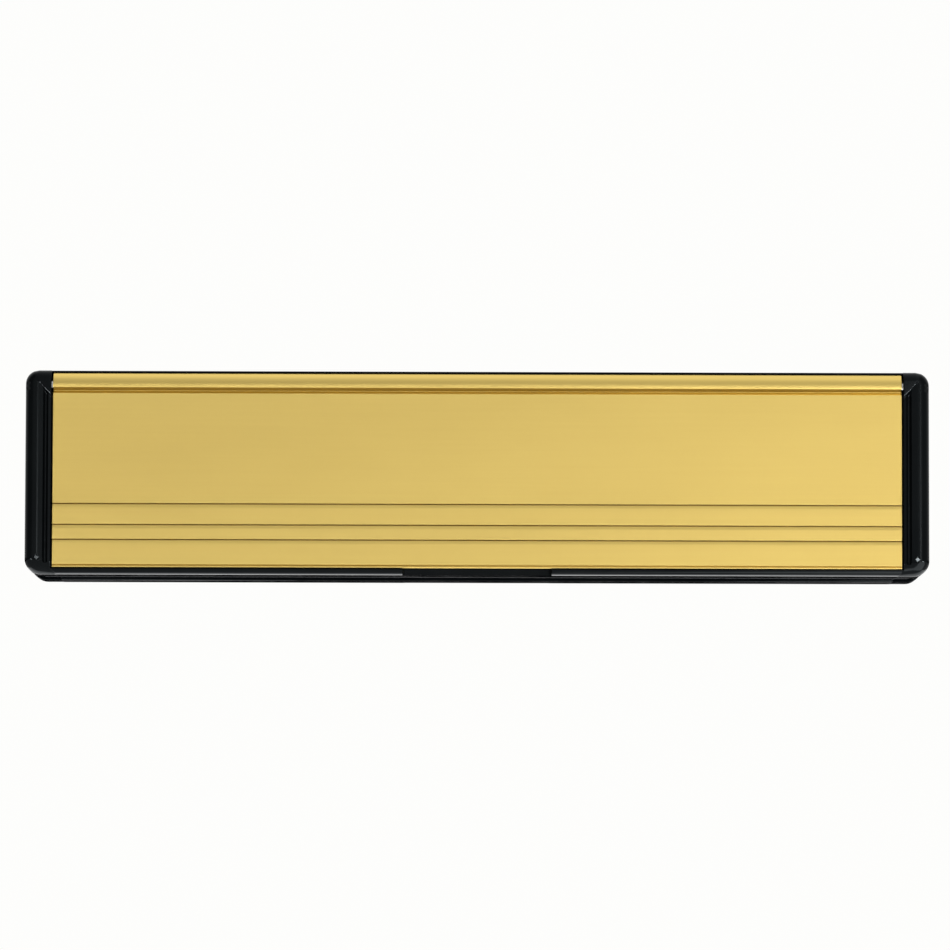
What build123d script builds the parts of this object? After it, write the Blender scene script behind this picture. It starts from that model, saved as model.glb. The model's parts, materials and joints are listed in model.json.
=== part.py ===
"""Telescopic letter plate for a door: two sprung flap units joined by a sliding sleeve.

The outer unit seats on the outside of the door and the inner unit on the inside.
Frame: X runs along the plate, Z is up, -Y is outside the house and +Y is inside.
The origin is the centre of the outer unit's seat.  All sizes are millimetres.

Both units share one design, drawn here on the outside (-Y) and mirrored for the inside.
"""

from build123d import *
import math
import os

os.makedirs("parts", exist_ok=True)

# ---------------------------------------------------------------- driving dimensions
PLATE_LENGTH = 305.0
PLATE_HEIGHT = 69.0
CREST_DEPTH = 14.5  # door face to the foremost part of the end blocks
DOOR_GAP = 20.0  # distance between the two seats with the plate fully closed up
GASKET_THICKNESS = 1.0
OVERCUT = 1.0  # how far a cutting shape runs past what it cuts

# End blocks
BLOCK_WIDTH = 8.8
BLOCK_TOP_RADIUS = 4.6
BLOCK_BOTTOM_RADIUS = 6.0
BLOCK_EDGE_RADIUS = 3.0
BLOCK_CREST_INSET = 3.8  # outer side to the crest line
BLOCK_SLOPE_DROP = 0.9
VALLEY_INSET = 7.0
VALLEY_RADIUS = 0.8
VALLEY_BOTTOM_Z = -29.9
BOSS_EDGE_INSET = 6.5
BOSS_EDGE_Z = 28.3  # height of the boss's 45 degree lower edge, at that inset
MITRE_RUN = 1.7  # how far the block's foot reaches under the bottom rail

# Hinge
PIVOT_Y = -10.2
PIVOT_Z = 29.65
ROD_RADIUS = 1.5
ROD_HALF_LENGTH = 150.2
ROD_HOLE_RADIUS = 1.52
PLUG_RADIUS = 1.88
PLUG_SOCKET_RADIUS = 1.9
PLUG_LENGTH = 2.15
PLUG_EDGE_RADIUS = 0.4
PLUG_GAP = 0.1  # between the rod's end and its plug
ROD_CHAMFER = 0.3

# Flap
FLAP_LENGTH = 286.4
BEAD_RADIUS = 4.05
CHANNEL_RADIUS = 2.6
CHANNEL_MOUTH_ANGLE = 60.0
FLAP_FRONT_Y = -13.6
FLAP_THICKNESS = 1.8
FLAP_BOTTOM_Z = -32.15
FLAP_LIP_RADIUS = 0.45
UNDERCUT_RADIUS = 1.03
UNDERCUT_OFFSET = (-3.55, -1.93)  # from the pivot
GROOVE_TOPS_Z = (-10.15, -17.21, -22.24)
GROOVE_STEEP_RUN = 0.4  # height of the groove's upper wall, its floor and its lower slope
GROOVE_FLOOR = 0.4
GROOVE_SLOPE_RUN = 0.95
GROOVE_DEPTH = 0.45
DRIP_LINE_Z = -31.2
DRIP_LINE_WIDTH = 0.55
DRIP_LINE_DEPTH = 0.45

# Rails
RAIL_CLEARANCE = 0.25  # round the bead
RAIL_BORE_MIDDLE_ANGLE = 60.0
TOP_RAIL_FRONT_Y = -10.6
TOP_RAIL_CHAMFER = 0.25
BOTTOM_RAIL_FRONT_Y = -13.9
BOTTOM_RAIL_RADIUS = 2.0
LEDGE_Z = -32.45
STOP_FRONT_Y = -10.9
STOP_THICKNESS = 1.4
STOP_TOP_Z = -29.6
NOTCH_LENGTH = 50.3
NOTCH_BACK_Y = -11.25
NOTCH_CORNER_RADIUS = 1.2
NOTCH_CUTTER_DEPTH = 8.0
TONGUE_LENGTH = 3.3
TONGUE_CLEARANCE = 0.05
TONGUE_END_CLEARANCE = 0.2
TOP_TONGUE = (-3.2, 32.8, 2.6, 1.9)  # centre y, centre z, depth along y, height along z
BOTTOM_TONGUE = (-6.8, -32.75, 3.6, 1.7)

# Chassis and sleeves
CHASSIS_HALF_LENGTH = 149.0
CHASSIS_HALF_HEIGHT = 31.0
CHASSIS_THICKNESS = 3.0
OUTER_SLEEVE_HALF = (130.0, 21.0)
OUTER_SLEEVE_WALL = 1.5
OUTER_SLEEVE_TIP_Y = 23.6
INNER_SLEEVE_HALF = (128.0, 19.0)
INNER_SLEEVE_WALL = 1.4
INNER_SLEEVE_TIP_Y = -4.4
SLEEVE_CORNER = 2.5
FLANGE_HALF = (132.0, 23.0)
FLANGE_THICKNESS = 1.5
RIM_INNER_HALF = (132.1, 23.1)
RIM_WALL = 1.8
RIM_FRONT_Y = -10.8
OUTER_OPENING_CLEARANCE = 0.05
INNER_OPENING_CLEARANCE = 0.5
RIB_COUNT = 7
RIB_SPACING = 40.0
RIB_THICKNESS = 1.5
RIB_DEPTH = 4.0

# Fixings
FIXING_CENTRES = 277.0
PILLAR_RADIUS = 4.0
PILLAR_TIP_Y = 24.0
PILLAR_BORE_RADIUS = 2.6
PILLAR_HOLE_RADIUS = 4.3
PILLAR_HOLE_EXTRA = 0.6  # clearance past the pillar's end
INSERT_RADIUS = 3.2
INSERT_BORE_RADIUS = 2.55
INSERT_LENGTH = 10.0
BORE_EXTRA = 0.5  # how far blind holes run past the screws' tips
FIXING_SHANK_RADIUS = 2.5
FIXING_TIP_Y = 0.0
FIXING_TIP_CHAMFER = 0.6
SCREW_BOSS_RADIUS = 4.9
SCREW_BOSS_HEIGHT = 3.6
WASHER_RADIUS = 4.6
WASHER_THICKNESS = 0.8
WASHER_CLEARANCE = 0.1
HEAD_RADIUS = 4.5
HEAD_HEIGHT = 2.5
HEAD_DOME = ((0.4, 1.0), (0.85, 0.8), (1.0, 0.45), (1.0, 0.0))  # shares of height and radius
RECESS_LENGTH = 4.6
RECESS_WIDTH = 1.0
RECESS_DEPTH = 1.6
FRAME_SCREW_X = 146.4
FRAME_SCREW_Z = 22.0
FRAME_SCREW_RADIUS = 1.25
FRAME_SCREW_HEAD_RADIUS = 2.5
FRAME_SCREW_HEAD_HEIGHT = 1.4
FRAME_SCREW_LENGTH = 8.5

# Seals, bushes and springs
GASKET_INSET = 1.2
GASKET_CORNER = 4.5
GASKET_OPENING_HALF = (131.0, 22.0)
GASKET_OPENING_CORNER = 3.5
GASKET_PILLAR_HOLE_RADIUS = 4.4
PILE_HEIGHT = 0.7
PILE_INSET = 0.1
FLAP_SEAL_HALF_LENGTH = 140.0
FLAP_SEAL_HEIGHT = 2.4
FLAP_SEAL_THICKNESS = 0.7
FLAP_SEAL_CENTRE_Z = -29.8
FLAP_SEAL_ROUNDING = 0.49
BUSH_RADIUS = 2.58
BUSH_BORE_RADIUS = 1.55
BUSH_LENGTH = 8.0
BUSH_CENTRES_X = (-126.0, 0.0, 126.0)
WIRE_RADIUS = 0.33
LEG_CLEARANCE = 0.05  # between the moving leg and the flap's back
COIL_RADIUS = 2.0  # to the centre of the wire
COIL_START_X = 134.8
COIL_LENGTH = 7.6
COIL_END_INSET = 0.35  # from the coil's end to its leg's centre
FIXED_LEG_TIP_Y = -2.6
MOVING_LEG_DROP = 14.0
LEG_HOLE_RADIUS = 0.45
LEG_HOLE_DEPTH = 1.5

# ---------------------------------------------------------------- worked-out sizes
HALF_LENGTH = PLATE_LENGTH / 2
TOP_Z = PLATE_HEIGHT / 2
BOTTOM_Z = -PLATE_HEIGHT / 2
FRAME_REAR_Y = -GASKET_THICKNESS
CHASSIS_FRONT_Y = FRAME_REAR_Y - CHASSIS_THICKNESS
BLOCK_INNER_X = HALF_LENGTH - BLOCK_WIDTH
PLUG_SOCKET_X = ROD_HALF_LENGTH + PLUG_GAP
FLAP_BACK_Y = FLAP_FRONT_Y + FLAP_THICKNESS
RAIL_BORE_RADIUS = BEAD_RADIUS + RAIL_CLEARANCE
FIXING_X = FIXING_CENTRES / 2
FIXING_PLACES = ((-FIXING_X, 0), (FIXING_X, 0))
FRAME_SCREW_PLACES = [
    (x, z) for x in (-FRAME_SCREW_X, FRAME_SCREW_X) for z in (-FRAME_SCREW_Z, FRAME_SCREW_Z)
]
MOVING_LEG_X = COIL_START_X + COIL_END_INSET
FIXED_LEG_X = COIL_START_X + COIL_LENGTH - COIL_END_INSET
FIXED_LEG_Z = PIVOT_Z - COIL_RADIUS
MIDDLE_OF_DOOR = Plane.XZ.offset(-DOOR_GAP / 2)
SECTION = Plane.YZ  # local x is the row's Y and local y is its Z


def facing(y):
    """Plane of constant y whose extrusions grow towards the outside (-Y)."""
    return Plane.XZ.offset(-y)


def export(piece, name):
    """Label one finished sub-part and write it as its own STEP file."""
    piece.part.label = name
    export_step(piece.part, f"parts/{name}.step")


def rounded_frame(y, depth, outer_half, inner_half, outer_corner, inner_corner):
    """Rectangular ring with rounded corners, from y towards the outside by depth."""
    with BuildPart() as ring:
        with BuildSketch(facing(y)):
            RectangleRounded(2 * outer_half[0], 2 * outer_half[1], outer_corner)
            RectangleRounded(2 * inner_half[0], 2 * inner_half[1], inner_corner, mode=Mode.SUBTRACT)
        extrude(amount=depth)
    return ring


def turned(places, profile, mode=Mode.ADD):
    """Revolve a profile of (y, radius) points about lines along Y through each (x, z) place."""
    for x, z in places:
        with BuildSketch(Plane(origin=(x, 0, z), x_dir=(0, 1, 0), z_dir=(1, 0, 0))) as half_section:
            with BuildLine():
                Polyline(*profile, close=True)
            make_face()
        revolve(half_section.sketch, axis=Axis((x, 0, z), (0, 1, 0)), mode=mode)


def grown(half, amount):
    """Half-sizes of a rectangle grown by the same amount all round."""
    return (half[0] + amount, half[1] + amount)


def copied(source, plane):
    """Mirror image of a finished sub-part, as a sub-part of its own."""
    with BuildPart() as image:
        mirror(source.part, about=plane)
    return image


# ---------------------------------------------------------------- end blocks
# The relief runs down the block's front: a slope from the crest to the inner lip, and a
# round-bottomed valley, both stopped at the top by the hinge boss's 45 degree edge.
crest_x = HALF_LENGTH - BLOCK_CREST_INSET
valley_x = HALF_LENGTH - VALLEY_INSET
slope_y = -CREST_DEPTH + BLOCK_SLOPE_DROP
relief_top_z = TOP_Z - OVERCUT
relief_inner_x = BLOCK_INNER_X - MITRE_RUN - OVERCUT
relief_front_y = -CREST_DEPTH - OVERCUT

with BuildPart() as relief:
    with BuildSketch(Plane.XY.offset(BOTTOM_Z - OVERCUT)):
        with BuildLine():
            Polyline(
                (crest_x, -CREST_DEPTH),
                (relief_inner_x, slope_y),
                (relief_inner_x, relief_front_y),
                (crest_x, relief_front_y),
                close=True,
            )
        make_face()
    extrude(amount=relief_top_z - BOTTOM_Z + OVERCUT)
    valley_y = -CREST_DEPTH + BLOCK_SLOPE_DROP * (crest_x - valley_x) / (crest_x - BLOCK_INNER_X)
    with BuildSketch(Plane.XY.offset(VALLEY_BOTTOM_Z)):
        with Locations((valley_x, valley_y)):
            Circle(VALLEY_RADIUS)
    extrude(amount=relief_top_z - VALLEY_BOTTOM_Z)
    with Locations((valley_x, valley_y, VALLEY_BOTTOM_Z)):
        Sphere(VALLEY_RADIUS)
    boss_edge = Plane(
        origin=(HALF_LENGTH - BOSS_EDGE_INSET, 0, BOSS_EDGE_Z),
        x_dir=(0, 1, 0),
        z_dir=(-1, 0, 1),
    )
    split(bisect_by=boss_edge, keep=Keep.BOTTOM)

with BuildPart() as block_right:
    with BuildSketch(facing(FRAME_REAR_Y)):
        with BuildLine():
            Polyline(
                (BLOCK_INNER_X, TOP_Z),
                (HALF_LENGTH, TOP_Z),
                (HALF_LENGTH, BOTTOM_Z),
                (BLOCK_INNER_X - MITRE_RUN, BOTTOM_Z),
                (BLOCK_INNER_X, LEDGE_Z),
                close=True,
            )
        make_face()
    extrude(amount=CREST_DEPTH - GASKET_THICKNESS)
    fillet(edges().filter_by(Axis.Y).group_by(Axis.X)[-1].sort_by(Axis.Z)[0], BLOCK_BOTTOM_RADIUS)
    fillet(edges().filter_by(Axis.Y).group_by(Axis.X)[-1].sort_by(Axis.Z)[-1], BLOCK_TOP_RADIUS)
    front_edges = faces().sort_by(Axis.Y)[0].edges()
    fillet(front_edges.filter_by(lambda edge: edge.center().X > BLOCK_INNER_X), BLOCK_EDGE_RADIUS)
    add(relief.part, mode=Mode.SUBTRACT)
    # rebate for the chassis plate
    with BuildSketch(facing(FRAME_REAR_Y)):
        Rectangle(2 * CHASSIS_HALF_LENGTH, 2 * CHASSIS_HALF_HEIGHT)
    extrude(amount=CHASSIS_THICKNESS, mode=Mode.SUBTRACT)
    # hinge rod hole, the socket of its plug, and the pilot holes for the frame screws
    with BuildSketch(SECTION.offset(BLOCK_INNER_X - OVERCUT)):
        with Locations((PIVOT_Y, PIVOT_Z)):
            Circle(ROD_HOLE_RADIUS)
    extrude(amount=PLUG_SOCKET_X - BLOCK_INNER_X + OVERCUT, mode=Mode.SUBTRACT)
    with BuildSketch(SECTION.offset(PLUG_SOCKET_X)):
        with Locations((PIVOT_Y, PIVOT_Z)):
            Circle(PLUG_SOCKET_RADIUS)
    extrude(amount=BLOCK_WIDTH, mode=Mode.SUBTRACT)
    with BuildSketch(facing(FRAME_REAR_Y)):
        with Locations((FRAME_SCREW_X, FRAME_SCREW_Z), (FRAME_SCREW_X, -FRAME_SCREW_Z)):
            Circle(FRAME_SCREW_RADIUS)
    extrude(amount=FRAME_SCREW_LENGTH + BORE_EXTRA, mode=Mode.SUBTRACT)
    # sockets for the tongues of the two rails
    socket_depth = TONGUE_LENGTH + TONGUE_END_CLEARANCE
    for centre_y, centre_z, depth_y, height_z in (TOP_TONGUE, BOTTOM_TONGUE):
        with BuildSketch(SECTION.offset(relief_inner_x)):
            with Locations((centre_y, centre_z)):
                Rectangle(depth_y + 2 * TONGUE_CLEARANCE, height_z + 2 * TONGUE_CLEARANCE)
        extrude(amount=BLOCK_INNER_X - relief_inner_x + socket_depth, mode=Mode.SUBTRACT)

# ---------------------------------------------------------------- rails
with BuildPart() as outer_top_rail:
    bore_end_z = CHASSIS_HALF_HEIGHT
    bore_end_y = PIVOT_Y + math.sqrt(RAIL_BORE_RADIUS**2 - (bore_end_z - PIVOT_Z) ** 2)
    lip_z = PIVOT_Z + RAIL_BORE_RADIUS
    middle_angle = math.radians(RAIL_BORE_MIDDLE_ANGLE)
    bore_middle = (
        PIVOT_Y + RAIL_BORE_RADIUS * math.cos(middle_angle),
        PIVOT_Z + RAIL_BORE_RADIUS * math.sin(middle_angle),
    )
    with BuildSketch(SECTION):
        with BuildLine():
            Polyline(
                (bore_end_y, bore_end_z),
                (FRAME_REAR_Y, bore_end_z),
                (FRAME_REAR_Y, TOP_Z),
                (TOP_RAIL_FRONT_Y + TOP_RAIL_CHAMFER, TOP_Z),
                (TOP_RAIL_FRONT_Y, TOP_Z - TOP_RAIL_CHAMFER),
                (TOP_RAIL_FRONT_Y, lip_z),
                (PIVOT_Y, lip_z),
            )
            ThreePointArc((PIVOT_Y, lip_z), bore_middle, (bore_end_y, bore_end_z))
        make_face()
    extrude(amount=BLOCK_INNER_X, both=True)
    with BuildSketch(SECTION):
        with Locations(TOP_TONGUE[:2]):
            Rectangle(*TOP_TONGUE[2:])
    extrude(amount=BLOCK_INNER_X + TONGUE_LENGTH, both=True)

with BuildPart() as outer_bottom_rail:
    stop_back_y = STOP_FRONT_Y + STOP_THICKNESS
    with BuildSketch(SECTION):
        with BuildLine():
            Polyline(
                (BOTTOM_RAIL_FRONT_Y + BOTTOM_RAIL_RADIUS, BOTTOM_Z),
                (FRAME_REAR_Y, BOTTOM_Z),
                (FRAME_REAR_Y, -CHASSIS_HALF_HEIGHT),
                (stop_back_y, -CHASSIS_HALF_HEIGHT),
                (stop_back_y, STOP_TOP_Z),
                (STOP_FRONT_Y, STOP_TOP_Z),
                (STOP_FRONT_Y, LEDGE_Z),
                (BOTTOM_RAIL_FRONT_Y, LEDGE_Z),
                (BOTTOM_RAIL_FRONT_Y, BOTTOM_Z + BOTTOM_RAIL_RADIUS),
            )
            TangentArc(
                (BOTTOM_RAIL_FRONT_Y, BOTTOM_Z + BOTTOM_RAIL_RADIUS),
                (BOTTOM_RAIL_FRONT_Y + BOTTOM_RAIL_RADIUS, BOTTOM_Z),
                tangent=(0, -1),
            )
        make_face()
    extrude(amount=BLOCK_INNER_X, both=True)
    # mitred ends, matching the feet of the end blocks
    with BuildSketch(facing(FRAME_REAR_Y + OVERCUT)):
        with BuildLine():
            Polyline(
                (BLOCK_INNER_X, LEDGE_Z),
                (BLOCK_INNER_X - MITRE_RUN, BOTTOM_Z),
                (BLOCK_INNER_X - MITRE_RUN, BOTTOM_Z - OVERCUT),
                (BLOCK_INNER_X + OVERCUT, BOTTOM_Z - OVERCUT),
                (BLOCK_INNER_X + OVERCUT, LEDGE_Z),
                close=True,
            )
        make_face()
        mirror(about=Plane.YZ)
    extrude(amount=CREST_DEPTH + 2 * OVERCUT, mode=Mode.SUBTRACT)
    # finger notch: a full-height scallop in the middle of the front
    with BuildSketch(Plane.XY.offset(BOTTOM_Z - OVERCUT)):
        with Locations((0, NOTCH_BACK_Y - NOTCH_CUTTER_DEPTH / 2)):
            RectangleRounded(NOTCH_LENGTH, NOTCH_CUTTER_DEPTH, NOTCH_CORNER_RADIUS)
    extrude(amount=PLATE_HEIGHT / 2, mode=Mode.SUBTRACT)
    with BuildSketch(SECTION):
        with Locations(BOTTOM_TONGUE[:2]):
            Rectangle(*BOTTOM_TONGUE[2:])
    extrude(amount=BLOCK_INNER_X + TONGUE_LENGTH, both=True)


# ---------------------------------------------------------------- chassis and sleeves
def chassis_body(opening_clearance):
    """Back plate with the sleeve opening, the landing rim and the holes common to both units."""
    opening_half = grown(OUTER_SLEEVE_HALF, opening_clearance)
    with BuildPart() as body:
        with BuildSketch(facing(FRAME_REAR_Y)):
            Rectangle(2 * CHASSIS_HALF_LENGTH, 2 * CHASSIS_HALF_HEIGHT)
        extrude(amount=CHASSIS_THICKNESS)
        rim_outer_half = grown(RIM_INNER_HALF, RIM_WALL)
        with BuildSketch(facing(CHASSIS_FRONT_Y)):
            RectangleRounded(2 * rim_outer_half[0], 2 * rim_outer_half[1], SLEEVE_CORNER + RIM_WALL)
            RectangleRounded(2 * RIM_INNER_HALF[0], 2 * RIM_INNER_HALF[1], SLEEVE_CORNER, mode=Mode.SUBTRACT)
        extrude(amount=CHASSIS_FRONT_Y - RIM_FRONT_Y)
        with BuildSketch(facing(FRAME_REAR_Y)):
            RectangleRounded(2 * opening_half[0], 2 * opening_half[1], SLEEVE_CORNER)
        extrude(amount=CHASSIS_THICKNESS, mode=Mode.SUBTRACT)
        # stiffening ribs below the rim
        with BuildSketch(facing(CHASSIS_FRONT_Y)):
            rib_top_z = -rim_outer_half[1]
            rib_height = CHASSIS_HALF_HEIGHT + rib_top_z
            with Locations((0, rib_top_z - rib_height / 2)):
                with GridLocations(RIB_SPACING, 1, RIB_COUNT, 1):
                    Rectangle(RIB_THICKNESS, rib_height)
        extrude(amount=RIB_DEPTH)
        # countersunk holes for the frame screws
        turned(
            FRAME_SCREW_PLACES,
            [
                (FRAME_REAR_Y, 0),
                (FRAME_REAR_Y, FRAME_SCREW_HEAD_RADIUS),
                (FRAME_REAR_Y - FRAME_SCREW_HEAD_HEIGHT, FRAME_SCREW_RADIUS),
                (CHASSIS_FRONT_Y, FRAME_SCREW_RADIUS),
                (CHASSIS_FRONT_Y, 0),
            ],
            mode=Mode.SUBTRACT,
        )
        # blind holes that hold the fixed legs of the springs
        with BuildSketch(facing(CHASSIS_FRONT_Y + LEG_HOLE_DEPTH)):
            with Locations((FIXED_LEG_X, FIXED_LEG_Z), (-FIXED_LEG_X, FIXED_LEG_Z)):
                Circle(LEG_HOLE_RADIUS)
        extrude(amount=LEG_HOLE_DEPTH, mode=Mode.SUBTRACT)
    return body


def sleeve(half, wall, tip_y):
    """Rectangular tube through the door, with a flange in front of the chassis plate."""
    front_y = CHASSIS_FRONT_Y - FLANGE_THICKNESS
    bore_half = grown(half, -wall)
    with BuildPart() as body:
        with BuildSketch(facing(tip_y)):
            RectangleRounded(2 * half[0], 2 * half[1], SLEEVE_CORNER)
        extrude(amount=tip_y - front_y)
        with BuildSketch(facing(CHASSIS_FRONT_Y)):
            RectangleRounded(2 * FLANGE_HALF[0], 2 * FLANGE_HALF[1], SLEEVE_CORNER)
        extrude(amount=FLANGE_THICKNESS)
        with BuildSketch(facing(tip_y)):
            RectangleRounded(2 * bore_half[0], 2 * bore_half[1], SLEEVE_CORNER - wall)
        extrude(amount=tip_y - front_y, mode=Mode.SUBTRACT)
    return body


outer_plate = chassis_body(OUTER_OPENING_CLEARANCE)
with BuildPart() as outer_chassis:
    add(outer_plate.part)
    # fixing pillars that reach through the door into the inner unit
    with BuildSketch(facing(PILLAR_TIP_Y)):
        with Locations(*FIXING_PLACES):
            Circle(PILLAR_RADIUS)
    extrude(amount=PILLAR_TIP_Y - FRAME_REAR_Y)
    with BuildSketch(facing(PILLAR_TIP_Y)):
        with Locations(*FIXING_PLACES):
            Circle(PILLAR_BORE_RADIUS)
    extrude(amount=PILLAR_TIP_Y - FIXING_TIP_Y + BORE_EXTRA, mode=Mode.SUBTRACT)
    with BuildSketch(facing(PILLAR_TIP_Y)):
        with Locations(*FIXING_PLACES):
            Circle(INSERT_RADIUS)
    extrude(amount=INSERT_LENGTH, mode=Mode.SUBTRACT)

inner_plate = chassis_body(INNER_OPENING_CLEARANCE)
with BuildPart() as inner_plate_with_bosses:
    add(inner_plate.part)
    # bosses that hold the heads of the fixing screws over the pillars' ends
    with BuildSketch(facing(CHASSIS_FRONT_Y)):
        with Locations(*FIXING_PLACES):
            Circle(SCREW_BOSS_RADIUS)
    extrude(amount=SCREW_BOSS_HEIGHT)
    with BuildSketch(facing(FRAME_REAR_Y)):
        with Locations(*FIXING_PLACES):
            Circle(PILLAR_HOLE_RADIUS)
    extrude(amount=CHASSIS_THICKNESS + PILLAR_HOLE_EXTRA, mode=Mode.SUBTRACT)
    with BuildSketch(facing(FRAME_REAR_Y)):
        with Locations(*FIXING_PLACES):
            Circle(PILLAR_BORE_RADIUS)
    extrude(amount=CHASSIS_THICKNESS + SCREW_BOSS_HEIGHT, mode=Mode.SUBTRACT)
    # the heads and washers bite into the landing rim's corner beside each boss
    with BuildSketch(facing(CHASSIS_FRONT_Y - SCREW_BOSS_HEIGHT)):
        with Locations(*FIXING_PLACES):
            Circle(WASHER_RADIUS + WASHER_CLEARANCE)
    extrude(amount=CREST_DEPTH, mode=Mode.SUBTRACT)
inner_chassis = copied(inner_plate_with_bosses, MIDDLE_OF_DOOR)

outer_sleeve = sleeve(OUTER_SLEEVE_HALF, OUTER_SLEEVE_WALL, OUTER_SLEEVE_TIP_Y)
inner_sleeve_tip_y = DOOR_GAP - INNER_SLEEVE_TIP_Y
inner_sleeve_outside = sleeve(INNER_SLEEVE_HALF, INNER_SLEEVE_WALL, inner_sleeve_tip_y)
inner_sleeve = copied(inner_sleeve_outside, MIDDLE_OF_DOOR)

# ---------------------------------------------------------------- flap
with BuildPart() as outer_flap:
    undercut_y = PIVOT_Y + UNDERCUT_OFFSET[0]
    undercut_z = PIVOT_Z + UNDERCUT_OFFSET[1]
    with BuildSketch(SECTION):
        with Locations((PIVOT_Y, PIVOT_Z)):
            Circle(BEAD_RADIUS)
        with BuildLine():
            Polyline(
                (FLAP_FRONT_Y, undercut_z),
                (FLAP_BACK_Y, PIVOT_Z - CHANNEL_RADIUS),
                (FLAP_BACK_Y, FLAP_BOTTOM_Z),
                (FLAP_FRONT_Y, FLAP_BOTTOM_Z),
                close=True,
            )
        make_face()
        fillet(vertices().group_by(Axis.Y)[0].sort_by(Axis.X)[0], FLAP_LIP_RADIUS)
        with Locations((PIVOT_Y, PIVOT_Z)):
            Circle(CHANNEL_RADIUS, mode=Mode.SUBTRACT)
        with Locations((undercut_y, undercut_z)):
            Circle(UNDERCUT_RADIUS, mode=Mode.SUBTRACT)
        # the channel's mouth, open to the rear from straight down to the upper lip
        mouth_reach = 2 * BEAD_RADIUS
        mouth_angle = math.radians(CHANNEL_MOUTH_ANGLE)
        with BuildLine():
            Polyline(
                (PIVOT_Y, PIVOT_Z),
                (PIVOT_Y, PIVOT_Z - mouth_reach),
                (PIVOT_Y + mouth_reach, PIVOT_Z - mouth_reach),
                (PIVOT_Y + mouth_reach, PIVOT_Z + mouth_reach * math.tan(mouth_angle)),
                close=True,
            )
        make_face(mode=Mode.SUBTRACT)
        # decorative grooves along the front
        for groove_z in GROOVE_TOPS_Z:
            floor_top_z = groove_z - GROOVE_STEEP_RUN
            floor_bottom_z = floor_top_z - GROOVE_FLOOR
            with BuildLine():
                Polyline(
                    (FLAP_FRONT_Y, groove_z),
                    (FLAP_FRONT_Y + GROOVE_DEPTH, floor_top_z),
                    (FLAP_FRONT_Y + GROOVE_DEPTH, floor_bottom_z),
                    (FLAP_FRONT_Y, floor_bottom_z - GROOVE_SLOPE_RUN),
                    close=True,
                )
            make_face(mode=Mode.SUBTRACT)
        with BuildLine():
            Polyline(
                (FLAP_FRONT_Y, DRIP_LINE_Z + DRIP_LINE_WIDTH / 2),
                (FLAP_FRONT_Y + DRIP_LINE_DEPTH, DRIP_LINE_Z),
                (FLAP_FRONT_Y, DRIP_LINE_Z - DRIP_LINE_WIDTH / 2),
                close=True,
            )
        make_face(mode=Mode.SUBTRACT)
    extrude(amount=FLAP_LENGTH / 2, both=True)

with BuildPart() as outer_flap_seal:
    with BuildSketch(SECTION):
        with Locations((FLAP_BACK_Y + FLAP_SEAL_THICKNESS / 2, FLAP_SEAL_CENTRE_Z)):
            Rectangle(FLAP_SEAL_THICKNESS, FLAP_SEAL_HEIGHT)
        fillet(vertices().group_by(Axis.X)[-1], FLAP_SEAL_ROUNDING)
    extrude(amount=FLAP_SEAL_HALF_LENGTH, both=True)

# ---------------------------------------------------------------- hinge hardware
with BuildPart() as outer_hinge_rod:
    with BuildSketch(SECTION):
        with Locations((PIVOT_Y, PIVOT_Z)):
            Circle(ROD_RADIUS)
    extrude(amount=ROD_HALF_LENGTH, both=True)
    chamfer(edges().filter_by(GeomType.CIRCLE), ROD_CHAMFER)

with BuildPart() as outer_rod_plugs:
    with BuildSketch(SECTION.offset(PLUG_SOCKET_X)):
        with Locations((PIVOT_Y, PIVOT_Z)):
            Circle(PLUG_RADIUS)
    extrude(amount=PLUG_LENGTH)
    fillet(edges().filter_by(GeomType.CIRCLE).sort_by(Axis.X)[-1], PLUG_EDGE_RADIUS)
    mirror(about=Plane.YZ)

with BuildPart() as outer_flap_bushes:
    for bush_x in BUSH_CENTRES_X:
        with BuildSketch(SECTION.offset(bush_x)):
            with Locations((PIVOT_Y, PIVOT_Z)):
                Circle(BUSH_RADIUS)
                Circle(BUSH_BORE_RADIUS, mode=Mode.SUBTRACT)
        extrude(amount=BUSH_LENGTH / 2, both=True)

# Each torsion spring: a close-wound coil round the rod, a leg fixed in the chassis and a
# leg that bears on the flap's back.
tip = Vector(0, FLAP_BACK_Y + WIRE_RADIUS + LEG_CLEARANCE - PIVOT_Y, -MOVING_LEG_DROP)
tip_angle = math.atan2(tip.Z, tip.Y) + math.acos(COIL_RADIUS / math.hypot(tip.Y, tip.Z))
leg_start = (
    MOVING_LEG_X,
    PIVOT_Y + COIL_RADIUS * math.cos(tip_angle),
    PIVOT_Z + COIL_RADIUS * math.sin(tip_angle),
)
leg_end = (MOVING_LEG_X, PIVOT_Y + tip.Y, PIVOT_Z + tip.Z)
leg_direction = Vector(*leg_end) - Vector(*leg_start)
with BuildPart() as outer_springs:
    with BuildSketch(SECTION.offset(COIL_START_X)):
        with Locations((PIVOT_Y, PIVOT_Z)):
            Circle(COIL_RADIUS + WIRE_RADIUS)
            Circle(COIL_RADIUS - WIRE_RADIUS, mode=Mode.SUBTRACT)
    extrude(amount=COIL_LENGTH)
    with BuildSketch(Plane(origin=leg_start, z_dir=leg_direction)):
        Circle(WIRE_RADIUS)
    extrude(amount=leg_direction.length)
    with BuildSketch(facing(PIVOT_Y)):
        with Locations((FIXED_LEG_X, FIXED_LEG_Z)):
            Circle(WIRE_RADIUS)
    extrude(amount=PIVOT_Y - FIXED_LEG_TIP_Y)
    mirror(about=Plane.YZ)

# ---------------------------------------------------------------- seals
rim_outer_half = grown(RIM_INNER_HALF, RIM_WALL)
outer_pile_seal = rounded_frame(
    RIM_FRONT_Y,
    PILE_HEIGHT,
    grown(rim_outer_half, -PILE_INSET),
    grown(RIM_INNER_HALF, PILE_INSET),
    SLEEVE_CORNER + RIM_WALL - PILE_INSET,
    SLEEVE_CORNER + PILE_INSET,
)

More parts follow.
